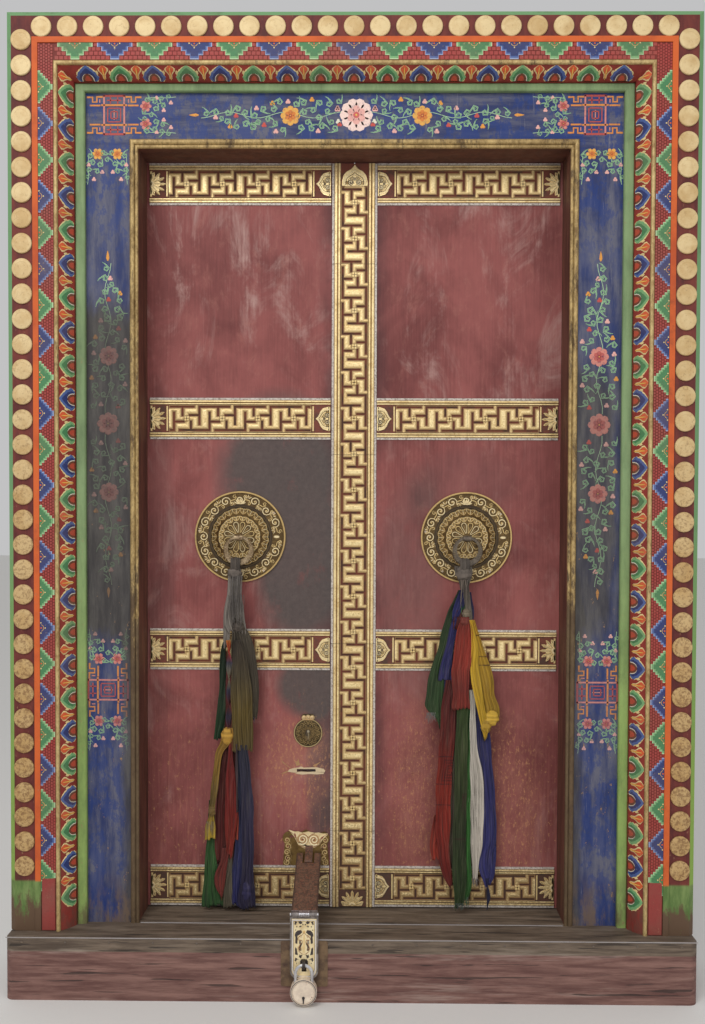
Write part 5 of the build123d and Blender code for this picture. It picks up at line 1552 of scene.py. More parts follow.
def engrave_key_plate(finish):
    """Scrolls on the dished plate round the key hole, its pale rim, and the carved tab above it."""
    x, z = KEY_PLACE
    dish = Relief(lambda u, v, rise: (x + u, -3.2 - (38 - min(38, math.hypot(u, v))) / 8 - rise, z + v))
    wreaths = ((14, 22, 36, 5.0, rgb(178, 148, 94)), (10, 10, 21, 3.4, rgb(150, 122, 76)))
    for count, near, far, sway, colour in wreaths:
        for index in range(count):
            turn = 2 * math.pi * index / count
            for hand in (-1, 1):
                path = []
                for share in (0, 0.3, 0.6, 0.85, 1):
                    reach = near + (far - near) * share
                    across = hand * sway * math.sin(math.pi * share) + 0.6 * hand
                    path.append((reach * math.cos(turn) - across * math.sin(turn),
                                 reach * math.sin(turn) + across * math.cos(turn)))
                draw(dish, path, 0.6, 1.3, 0.8, colour)
            dish.dome(*polar((near + far) / 2, turn), ((1.6, 0), (1.0, 0.8)), 6, colour)
    # The key hole, painted near black: painted shade.
    dish.plate([(-6, -22), (6, -22), (7, 2), (4, 10), (-4, 10), (-7, 2)], 0, 0.5, HOLE_SHADE, 0.5)
    dish.dome(1, 5, ((4.2, 0.5), (3.6, 3.0), (1.8, 4.4)), 12, rgb(166, 156, 134))
    draw(dish, [(1, 2), (2, -6), (1, -16)], 2.4, 4.4, 2.6, rgb(132, 120, 98))
    dish.piece("key_plate_scrolls", finish, "left_leaf", "key_plate_brass")
    rim = Relief(round_face(KEY_PLACE, lambda v: -3.0))
    ring_line(rim, 40.4, 2.2, 0.9, rgb(176, 156, 112))
    rim.piece("key_plate_rim", finish, "left_leaf", "key_plate_brass")
    tab = Relief(front(-3.0))
    for shift in (-12, 0, 12):
        knob_z = z + 46 - abs(shift) * 0.12
        tab.dome(x + shift, knob_z, ((7.4, 0), (5.4, 2.4), (2.4, 3.2)), 12, rgb(214, 186, 140))
        draw(tab, spiral(x + shift, knob_z, 0.4, 1.1, 0.8, 4.6, 8), 0.7, 1.3, 4.0, rgb(150, 108, 74))
    tab.bar(x - 15, z + 39, x + 15, z + 39, 4, 0, 2.2, rgb(196, 160, 112), 0.8)
    tab.piece("key_plate_tab", finish, "left_leaf", "key_plate_brass")


def tear_slot(finish):
    """Pale wood torn open round the slot, with splinters running out along the grain."""
    torn = Relief(front(0))
    shapes = (
        ([(-180, 585.4), (-172, 588), (-158, 590), (-150, 593), (-143, 589.5), (-120, 590.5), (-104, 590.5),
          (-92, 588), (-82, 586), (-83, 585.4)], TORN_WOOD),
        ([(-186, 583), (-180, 586), (-162.6, 585.4), (-162.6, 573.6), (-176, 575), (-190, 577)], TORN_WOOD),
        ([(-164, 577), (-150, 578), (-132, 577), (-112, 578), (-82, 577), (-84, 571), (-104, 569.5),
          (-128, 570.5),
          (-146, 568.5), (-166, 571)], TORN_WOOD),
        ([(-112, 577), (-106, 580), (-110, 583), (-104, 586), (-84, 585.5), (-79, 581), (-82, 575)],
         TORN_WOOD),
        ([(-186, 590), (-178, 587), (-194, 598), (-208, 611), (-204, 603)], TORN_DEEP),
        ([(-118, 594), (-108, 594), (-98, 601), (-92, 608), (-102, 603)], TORN_DEEP),
        ([(-211, 570), (-198, 573), (-188, 577), (-190, 580), (-202, 575)], TORN_DEEP),
        ([(-164, 593), (-152, 598), (-156, 606), (-158, 616), (-163, 606), (-169, 611)], TORN_DEEP),
    )
    for outline, colour in shapes:
        torn.plate(outline, 0, 0.8, colour, 0.4)
    torn.piece("slot_torn_wood", finish, "left_leaf", "leaf_paint")


def carve_cloud_plate(finish):
    """The cream cloud head with its two scrolls, its horns, dull scrolls down both sides, and dark lines of
    painted shade between the scrolls and the horns.
    """
    plate = Relief(front(box_side("cloud_plate", min, 1)))
    head = [(-187, 405), (-172, 401), (-158, 402), (-146, 398), (-136, 400), (-128, 402), (-120, 400),
            (-110, 398), (-98, 399), (-86, 396), (-70, 396), (-80,
                                                              384), (-90, 372), (-97, 362), (-110, 354),
            (-128, 347), (-146, 354), (-158, 362), (-164, 374), (-172, 390)]
    plate.plate(head, 0, 1.3, rgb(214, 190, 142), 0.8)
    for hand, x, z in ((-1, -145.0, 379.0), (1, -111.5, 377.5)):
        plate.dome(x, z, ((17.5, 0), (16, 1.8), (13, 2.2)), 20, rgb(176, 138, 92))
        scroll = spiral(x, z, math.pi / 2, 1.6, 3.5, 15.5, 22, hand)
        plate.stroke(scroll, [3.0 + step * 0.09 for step in range(23)], 0, 4.2, rgb(244, 228, 186), 0.2)
        plate.dome(x, z, ((3.2, 2), (2.4, 2.9)), 8, rgb(120, 70, 46))
    lobes = (
        ([(-160, 372), (-140, 356), (-128, 350), (-116, 356), (-97, 370), (-112, 362), (-128, 366),
          (-145, 362)],
         2.6, 1.0),
        ([(-158, 386), (-154, 397), (-168, 401), (-186, 407), (-178, 396), (-170, 386)], 2.4, 1.0),
        ([(-99, 384), (-90, 392), (-70, 394), (-78, 386), (-92, 374)], 2.4, 1.0),
        ([(-140, 392), (-128, 400), (-117, 391), (-128, 386)], 2.2, 0.8),
    )
    for outline, rise, softness in lobes:
        plate.plate(outline, 0, rise, CREAM_GOLD, softness)
    # Dark lines between the scrolls and the horns: painted shade.
    lines = ([(-186, 404), (-172, 395), (-164, 384), (-161, 372)],
             [(-72, 395), (-84, 388), (-92, 378), (-96, 366)],
             [(-146, 397), (-134, 391), (-128, 384), (-122, 391), (-110, 397)],
             [(-158, 362), (-144, 357), (-128, 352), (-112, 357), (-98, 362)])
    for path in lines:
        draw(plate, path, 1.2, 2.6, 2.7, rgb(140, 96, 62))
    for x, z, long, turn in ((-167, 391, 9, 100), (-88, 384, 9, 40)):
        lean = math.radians(turn)
        corners = ((-long, lean), (2.6, lean - math.pi / 2), (long, lean), (-2.6, lean - math.pi / 2))
        plate.plate([polar(reach, way, x, z) for reach, way in corners], 2, 2.8, RUST_RED)
    for side in (-1, 1):
        for step, z in enumerate((376, 358, 340, 322, 310)):
            x = -135 + side * (56 - 3 * (step % 2))
            draw(plate, spiral(x, z, 1.2 * step, 1.4, 1.5, 9.5, 12, side), 2.0, 4.0, 2.2,
                 rgb(188, 160, 108))
            draw(plate, [(x - side * 12, z - 8), (x - side * 8, z), (x - side * 11, z + 9)], 1.2, 3.2, 1.6,
                 DULL_GOLD)
            if step < 2:
                plate.dome(x, z, ((2.8, 0.2), (2.0, 1.0)), 7, RUST_RED)
    plate.piece("cloud_plate_carving", finish, "left_leaf", "cloud_plate_brass")


HASP_SIDE_SHAPES = (
    ((-10, 230), (-4, 224), (-9, 220), (-15, 223)),
    ((-26, 229), (-18, 226), (-24, 219)),
    ((-24, 128), (-18, 126), (-22, 117), (-25, 120)),
    ((-12, 137), (-6, 133), (-8, 126), (-14, 130)),
    ((-23, 198), (-24, 168), (-18.5, 166), (-17.5, 178), (-18, 188), (-11, 192), (-5, 198), (-8, 204),
     (-17, 203)),
    ((-6, 171), (-13, 161), (-13.5, 148), (-7.5, 147), (-9, 157), (-4.5, 168)),
    ((-24.5, 158), (-24.5, 137), (-16.5, 135), (-19, 147)),
)
HASP_DOTS = ((-13.5, 226, 2.2), (-20, 213, 1.8), (-11, 213.5, 2.2), (-3.2, 219, 2.0), (-23, 204, 1.5),
             (-6.5, 134.5, 1.9), (-24, 121, 1.8), (-16.5, 123, 1.5), (-20, 113, 1.3), (-23.5, 127, 1.1))
TRUMPET = ((1.5, 196), (6, 190), (14, 186), (18, 178), (12, 176), (6, 176), (5, 170), (11, 164), (15, 155),
           (13, 145), (6, 139), (1.5, 137))


def pierce_hasp(finish):
    """The hasp's white-metal border, its pierced ground and its slot painted near black as shade, and the
    trumpets engraved at its middle.
    """
    face = Relief(front(box_side("hasp_face", min, 1)))
    half = 31.4
    corners = ((-half, 231), (half, 231), (half, 96), (26, 82), (14, 77), (-14, 77), (-26, 82), (-half, 96),
               (-half, 231))
    border = [(HASP_X + x, z) for x, z in corners]
    face.stroke(border, [3.4] * len(border), 0, 0.9, WHITE_METAL, 0.2)
    inner = [(HASP_X + (x - HASP_X) * 0.9, 231 - (231 - z) * 0.975 - 3) for x, z in border]
    face.stroke(inner, [1.0] * len(inner), 0, 0.5, rgb(120, 96, 60), 0.2)
    for side in (-1, 1):
        # The piercings and dots are painted near black: painted shade.
        for outline in HASP_SIDE_SHAPES:
            face.plate([(HASP_X + side * x, z) for x, z in outline], 0, 0.25, HOLE_SHADE)
        for x, z, size in HASP_DOTS:
            face.dome(HASP_X + side * x, z, ((size, 0), (size * 0.9, 0.3)), 7, HOLE_SHADE)
        draw(face, [(HASP_X + side * x, z) for x, z in TRUMPET], 1.2, 2.2, 0.6, rgb(150, 104, 66))
        for away, z, reach, thin, thick, colour in ((9.5, 186, 4.2, 0.7, 1.1, rgb(176, 128, 84)),
                                                    (9.5, 152, 4.2, 0.7, 1.1, rgb(176, 128, 84)),
                                                    (17, 96, 4.6, 0.8, 1.3, rgb(176, 134, 84))):
            scroll = spiral(HASP_X + side * away, z, 0.5, 1.2, 0.8, reach, 8, side)
            draw(face, scroll, thin, thick, 0.6, colour)
    draw(face, [(HASP_X, z) for z in (204, 186, 160, 138)], 1.0, 3.0, 0.8, rgb(232, 196, 128))
    face.dome(HASP_X, 199, ((3.4, 0), (2.2, 1.0)), 10, rgb(226, 186, 120))
    # The slot, painted near black: painted shade.
    slot = ((-11, 118), (-7, 124), (7, 124), (11, 118), (10, 100), (-10, 100))
    face.plate([(HASP_X + x, z) for x, z in slot], 0, 0.4, rgb(40, 34, 32), 0.2)
    face.piece("hasp_face_piercing", finish, "frame", "hasp_brass")


def finish_padlock(finish):
    """The padlock's plain face: a dark line round its rim that is painted shade of its edge, a drop-shaped
    key hole painted near black as shade, and specks of rust.
    """
    x, z = PADLOCK_PLACE
    rim = Relief(round_face(PADLOCK_PLACE, lambda v: PADLOCK_FACE + 0.15))
    # Painted shade: a dark line round the rim of the face.
    ring_line(rim, 34.0, 2.2, 0.35, rgb(72, 68, 72), 48)
    ring_line(rim, 30.6, 1.0, 0.3, rgb(166, 152, 138), 48)
    face = Relief(front(PADLOCK_FACE + 0.1))
    drop = [polar(4, math.pi * (-0.25 + step / 8), x, z - 14) for step in range(13)]
    drop += [(x - 1.6, z - 24), (x - 1.8, z - 30), (x + 1.0, z - 30), (x + 1.4, z - 24)]
    # The key hole, painted near black: painted shade.
    face.plate(drop, 0, 0.25, HOLE_SHADE)
    rust = ((23, -12, 1.6), (19, -17, 1.0), (-20, 21, 0.9), (27, 3, 0.8), (-27, -8, 1.0), (9, 25, 0.7))
    for u, v, size in rust:
        face.dome(x + u, z + v, ((size, 0), (size * 0.7, 0.25)), 7, rgb(142, 92, 66))
    rim.piece("padlock_rim_line", finish, "padlock_case", "padlock_steel")
    face.piece("padlock_key_hole", finish, "padlock_case", "padlock_steel")


def edge_threshold(finish):
    """Thin worn metal strips along the threshold's front edge and along its top, and nails."""
    strips = Relief(front(THRESHOLD_FACE))
    reach, height = 944, SILL_TOP - 1.4
    long = 2 * reach / 8
    for part in range(8):
        low = -reach + part * long
        strips.bar(low + 1.6, height, low + long - 1.6, height, 3.0, 0, 1.0, rgb(158, 152, 150), 0.5)
    strips.piece("threshold_edge_strips", finish, "frame", "threshold_plate_brass")
    tread = Relief(lambda u, v, rise: (u, v, SILL_TOP + rise))
    long = 2 * 596 / 5
    for part in range(5):
        low = -596 + part * long
        tread.bar(low + 1.6, -124, low + long - 1.6, -124, 5.0, 0, 1.0, rgb(150, 144, 142), 0.6)
    tread.piece("threshold_tread_strip", finish, "frame", "threshold_plate_brass")
    nail = Relief()
    nail.dome(0, 0, ((3.2, 0), (2.8, 1.0), (1.2, 1.6)), 8, rgb(96, 84, 74))
    spots = [-900 + 120 * index for index in range(16)]
    places = [(x, 160, 0, 1, 1) for x in spots if abs(x - HASP_X) > 60]
    scatter("threshold_nails", nail, places, THRESHOLD_FACE, finish, "frame", "pivot_iron")


def nail_bands(finish):
    """Small nails through the pale strips along the bands."""
    nail = Relief()
    nail.dome(0, 0, ((2.2, 0), (1.8, 0.9), (0.8, 1.3)), 8, rgb(158, 146, 134))
    for side, hand in LEAVES:
        places = [(side * (BAND_END - 20 - 60 * index), height + away, 0, 1, 1)
                  for height in BAND_HEIGHTS for away in (-57, 57) for index in range(9)]
        scatter(f"{hand}_leaf_band_nails", nail, places, -3.0, finish, f"{hand}_leaf", "band_brass")


HASP_SIDE_STEEL = aged_metal("hasp_side_steel", (150, 142, 138), (92, 84, 80), (52, 44, 42), 0.4, 0.5,
                             60, 0.7)
own_finishes = (("hasp_hinge_pin", FINISHES["shackle_steel"]), ("hasp_plate", HASP_SIDE_STEEL),
                ("lock_staple", FINISHES["pivot_iron"]))
for part_name, finish in own_finishes:
    NODES[part_name].data.materials[0] = finish
PAINTED_METAL = carving_paint("painted_metal", 0.4, 0.35, 0.15)
engrave_key_plate(BOSS_ORNAMENT)
tear_slot(PAINTED_METAL)
carve_cloud_plate(PAINTED_METAL)
pierce_hasp(PAINTED_METAL)
finish_padlock(PAINTED_METAL)
edge_threshold(PAINTED_METAL)
nail_bands(PAINTED_METAL)


# Scarves: old silk and cotton tied to the pull rings, hanging in folds in front of the leaves

CLOTH_ROW = 8
CLOTH_THICKNESS = 0.9
FOLD_STEPS = 8
KNOT_MERGE = 0.02
LOWEST_HEM = 185
LIFTED_BELOW = 340
GREY = ((178, 168, 158), (150, 140, 130))
BROWN = ((92, 82, 70), (78, 68, 50))
OLIVE = ((74, 64, 56), (86, 74, 52), (116, 96, 44), (110, 90, 46))
YELLOW_CLOTH = ((206, 160, 46), (188, 148, 50))
BRIGHT_YELLOW = ((244, 196, 58), (228, 182, 50))
DEEP_GREEN = ((36, 50, 36), (30, 66, 34))
DARK_RED = ((84, 32, 30), (108, 38, 34))
BEIGE = ((122, 112, 96), (112, 102, 82))
SLATE_BLUE = ((66, 72, 88), (48, 48, 110))
NAVY = ((58, 58, 76), (60, 54, 84), (44, 38, 70))
BLUE = ((44, 44, 92), (60, 60, 124))
WHITE_CLOTH = ((240, 230, 214), (226, 214, 198))
CORD_COLOURS = ((200, 120, 40), (190, 60, 40), (60, 66, 84), (168, 152, 120), (44, 44, 76),
                (110, 44, 42), (46, 46, 72), (122, 42, 42))


def cloth(name, frets=(), lines=()):
    """Worn silk: woven threads, streaks along the folds and dust; frets and lines are printed darker.

    It reads the cloth's own flat coordinates: metres across, and metres down from its top.
    """
    f = Finish(name, "UV")
    paint = f.written()
    threads = f.noise(300, 3, 0.6, (1, 0.03, 1))
    dust = f.noise(26, 5, 0.65, (1, 0.35, 1))
    f.ground(threads.step(0.45, 0.8) * 0.1, paint, (186, 172, 146))
    f.coat((1 - threads).step(0.5, 0.8) * 0.4, (20, 16, 16))
    f.coat(dust.step(0.5, 0.8) * 0.3, (60, 50, 40))
    ink = 0.0
    for across, down, half in frets:
        away = abs(f.x - across * MM).most(abs(f.y - down * MM))
        rings = (away.repeat(8 * MM)).step(2.6 * MM, 3.6 * MM)
        gap = (f.x - across * MM).step(0, 2 * MM) * abs(f.y - down * MM).step(5 * MM, 3 * MM)
        ink = rings * away.step((half + 1) * MM, half * MM) * (1 - gap) + ink
    for down in lines:
        ink = abs(f.y - down * MM).step(2.4 * MM, 1.4 * MM) + ink
    if frets or lines:
        f.coat(ink.least(0.75) * dust.step(0.75, 0.4), (52, 22, 24))
    turn = 2 * math.pi / (1.4 * MM)
    warp = (f.x * turn).combine("SINE", f.x * turn)
    weft = (f.y * turn).combine("SINE", f.y * turn)
    f.shader.inputs["Sheen Weight"].default_value = 0.05
    f.shader.inputs["Sheen Roughness"].default_value = 0.5
    rough = 0.62 + dust * 0.25
    return f.finish(rough, height=warp * weft * 0.4 + threads, depth=0.0005, strength=0.5, gloss=0.25)


CLOTH = cloth("plain_scarf_cloth")
PRINTED = {
    ("right", "long_red_scarf"): cloth("printed_red_cloth", ((62, 262, 34),), (222, 302, 362)),
    ("right", "long_green_scarf"): cloth("printed_green_cloth", ((70, 330, 30),), (432,)),
    ("right", "broad_yellow_scarf"): cloth("printed_yellow_cloth", (), (44, 105, 130)),
}
TWISTED = {"twisted_scarf": 2.4, "navy_tail": 3.0}


def curve(before, start, end, after, t):
    """The value at t, from 0 to 1, between start and end on a smooth curve through all four."""
    bend = before - 2.5 * start + 2 * end - after / 2
    return start + t * (end - before) / 2 + t * t * bend + t ** 3 * (1.5 * (start - end)
                                                                     + (after - before) / 2)


def smooth_rows(rows, step):
    """Rows of numbers with smooth ones in between, about step millimetres apart down the cloth."""
    filled = []
    last = len(rows) - 1
    for index in range(last):
        near = [rows[min(max(index + move, 0), last)] for move in (-1, 0, 1, 2)]
        parts = max(1, round(math.dist(near[1][:2], near[2][:2]) / step))
        for part in range(parts):
            filled.append([curve(*values, part / parts) for values in zip(*near)])
    filled.append(list(rows[-1]))
    return filled


def chart_cloth(mesh, flat):
    """Writes the flat place of every point, in metres, and smooths the faces."""
    chart = mesh.uv_layers.new(name="cloth")
    for loop in mesh.loops:
        chart.data[loop.index].uv = flat[loop.vertex_index]
    for face in mesh.polygons:
        face.use_smooth = True


def blended(tones, share):
    """A colour at share of the way through a list of colours."""
    place = share * (len(tones) - 1)
    index = min(int(place), len(tones) - 2)
    part = place - index
    return [a * (1 - part) + b * part for a, b in zip(tones[index], tones[index + 1])]


def seen_rows(outline, depth, ragged):
    """Rows (z, y, left, right) of a cloth at y = depth, from rows (v, left u, right u) in photo pixels.

    A hem seen in front of the threshold is drawn up, so that the cloth ends just above the tread.
    """
    rows = []
    for v, left_u, right_u in outline:
        left, z = seen_at(left_u, v, depth)
        rows.append([z, depth, left, seen_at(right_u, v, depth)[0]])
    least, low = LOWEST_HEM + ragged, min(row[0] for row in rows)
    if low < least:
        squeeze = (LIFTED_BELOW - least) / (LIFTED_BELOW - low)
        for row in rows:
            if row[0] <= LIFTED_BELOW:
                row[0] = round(least + (row[0] - low) * squeeze)
    return rows


def hang(side, name, rows, folds, tones, seed, ragged=6):
    """One cloth in pleats; rows are (z, y, left, right) down it.

    folds are the number of pleats and their depth, ragged the unevenness of the hem and tones its colours.
    The colours are painted lighter on the crests of the pleats and darker in their valleys: painted shade.
    """
    rows = smooth_rows(rows, CLOTH_ROW)
    pleats, fold = folds
    tones = [rgb(*tone) for tone in tones]
    twist = TWISTED.get(name, 0)
    count = len(rows)
    columns = pleats * FOLD_STEPS + 1
    points, colours, flat = [], [], []
    down = 0.0
    for index, (z, y, left, right) in enumerate(rows):
        above, below = rows[max(index - 1, 0)], rows[min(index + 1, count - 1)]
        along = Vector((below[1] - above[1], below[0] - above[0])).normalized()
        if index:
            down += math.dist(rows[index][:2], rows[index - 1][:2])
        share = index / (count - 1)
        turn = math.radians(twist * down)
        middle, half = (left + right) / 2, (right - left) / 2
        loose = 0.7 + 0.3 * math.sin(down / 47 + seed)
        line = []
        for column in range(columns):
            s = column / (columns - 1)
            phase = 2 * math.pi * pleats * s + seed + 0.9 * math.sin(down / 83 + seed * 2 + 3 * s)
            slow = math.sin(3.9 * s + seed * 2 + down / 130)
            crest = (0.6 + 0.3 * slow) * math.sin(phase + 0.7 * math.sin(phase)) + 0.3 * slow
            size = fold * loose * (0.75 + 0.25 * math.sin(5 * s + seed * 3 + down / 60))
            lean = 0.22 * (2 * half / pleats) * math.sin(2 * phase)
            hem = max(0.0, share - 0.8) / 0.2
            drop = ragged * hem * hem * (0.35 * math.sin(phase + 1) + 0.65 * math.sin(4 * s + seed))
            out = size * crest + 1.2 * math.sin(9 * s + down / 31 + seed)
            across = (2 * s - 1) * half + lean + 0.8 * math.sin(down / 19 + seed + 4 * s)
            x = middle + across * math.cos(turn) + out * math.sin(turn)
            out = out * math.cos(turn) - across * math.sin(turn)
            line.append((x, y + along.y * out, z - along.x * out - drop))
            # Painted shade: lighter on the crests of the pleats, darker in their valleys.
            shade = (0.36 + 0.44 * (0.5 + 0.5 * crest)) * (0.94 + 0.1 * math.sin(17 * s + seed))
            colours.append([part * shade for part in blended(tones, share)[:3]] + [1])
        width = 0.0
        for column, point in enumerate(line):
            if column:
                width += math.dist(point, line[column - 1])
            flat.append((width * MM, down * MM))
        points += line
    faces = [(row * columns + column, row * columns + column + 1, (row + 1) * columns + column + 1,
              (row + 1) * columns + column) for row in range(count - 1) for column in range(columns - 1)]
    mesh = bpy.data.meshes.new(f"{side}_{name}")
    mesh.from_pydata([[value * MM for value in point] for point in points], [],
                     [face[::-1] for face in faces])
    paint = mesh.attributes.new(PAINT, "FLOAT_COLOR", "POINT")
    paint.data.foreach_set("color", [value for colour in colours for value in colour])
    chart_cloth(mesh, flat)
    mesh.materials.append(PRINTED.get((side, name), CLOTH))
    piece = add_piece(f"{side}_{name}", mesh, f"{side}_scarves")
    wall = piece.modifiers.new("thickness", "SOLIDIFY")
    wall.thickness = CLOTH_THICKNESS * MM
    wall.offset = 0
    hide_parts(f"{side}_scarves")
    return piece


def tied_knot(side, name, centre, size, folds, colour, seed):
    """A lump where cloth is tied, its folds running round it and painted lighter and darker in bands as
    painted shade; centre and size are along X, Y and Z.
    """
    around, rings = 28, 12
    lump = Relief()
    starts = []
    for ring in range(rings + 1):
        tip = -math.pi / 2 + math.pi * ring / rings
        corners = []
        for step in range(around):
            turn = 2 * math.pi * step / around
            swell = 1 + 0.13 * math.sin(folds * tip + 3 * math.sin(turn + seed)) * math.cos(tip)
            swell += 0.05 * math.sin(5 * turn + seed + 4 * tip)
            reach = (math.cos(turn) * math.cos(tip), math.sin(turn) * math.cos(tip), math.sin(tip))
            corners.append(tuple(c + half * swell * part for c, half, part in zip(centre, size, reach)))
        starts.append(lump.ring(corners))
    for index, (low, high) in enumerate(zip(starts, starts[1:])):
        # Painted shade: bands lighter and darker along the folds.
        shade = 0.7 + 0.3 * math.sin(folds * math.pi * index / rings + seed) ** 2
        for step in range(around):
            following = (step + 1) % around
            corners = (low + step, low + following, high + following, high + step)
            lump.cover(corners, [part * shade for part in rgb(*colour)[:3]] + [1])
    mesh = lump.mesh(f"{side}_{name}", CLOTH)
    face_outwards(mesh, KNOT_MERGE * MM)
    chart_cloth(mesh, [(point.co.x + point.co.y, point.co.z) for point in mesh.vertices])
    return add_piece(f"{side}_{name}", mesh, f"{side}_scarves")


def frayed(side, name, depth, z, left, right, length, count, colour, seed):
    """Loose threads below a torn hem."""
    chance = random.Random(seed)
    threads = Relief(front(depth))
    for index in range(count):
        x = left + (right - left) * (index + chance.random()) / count
        sway, reach = chance.uniform(-5, 5), length * chance.uniform(0.45, 1.0)
        path = [(x + sway * t * t + 1.5 * math.sin(5 * t + index), z + 4 - reach * t)
                for t in (0, 0.25, 0.5, 0.75, 1)]
        shade = chance.uniform(0.7, 1.2)
        threads.stroke(path, [1.8, 1.5, 1.3, 1.1, 0.7], chance.uniform(-2, 0), chance.uniform(1, 2),
                       [min(1, part * shade) for part in rgb(*colour)[:3]] + [1])
    return threads.piece(f"{side}_{name}", BOARD_ORNAMENT_PAINT, f"{side}_scarves", "scarf_cloth")
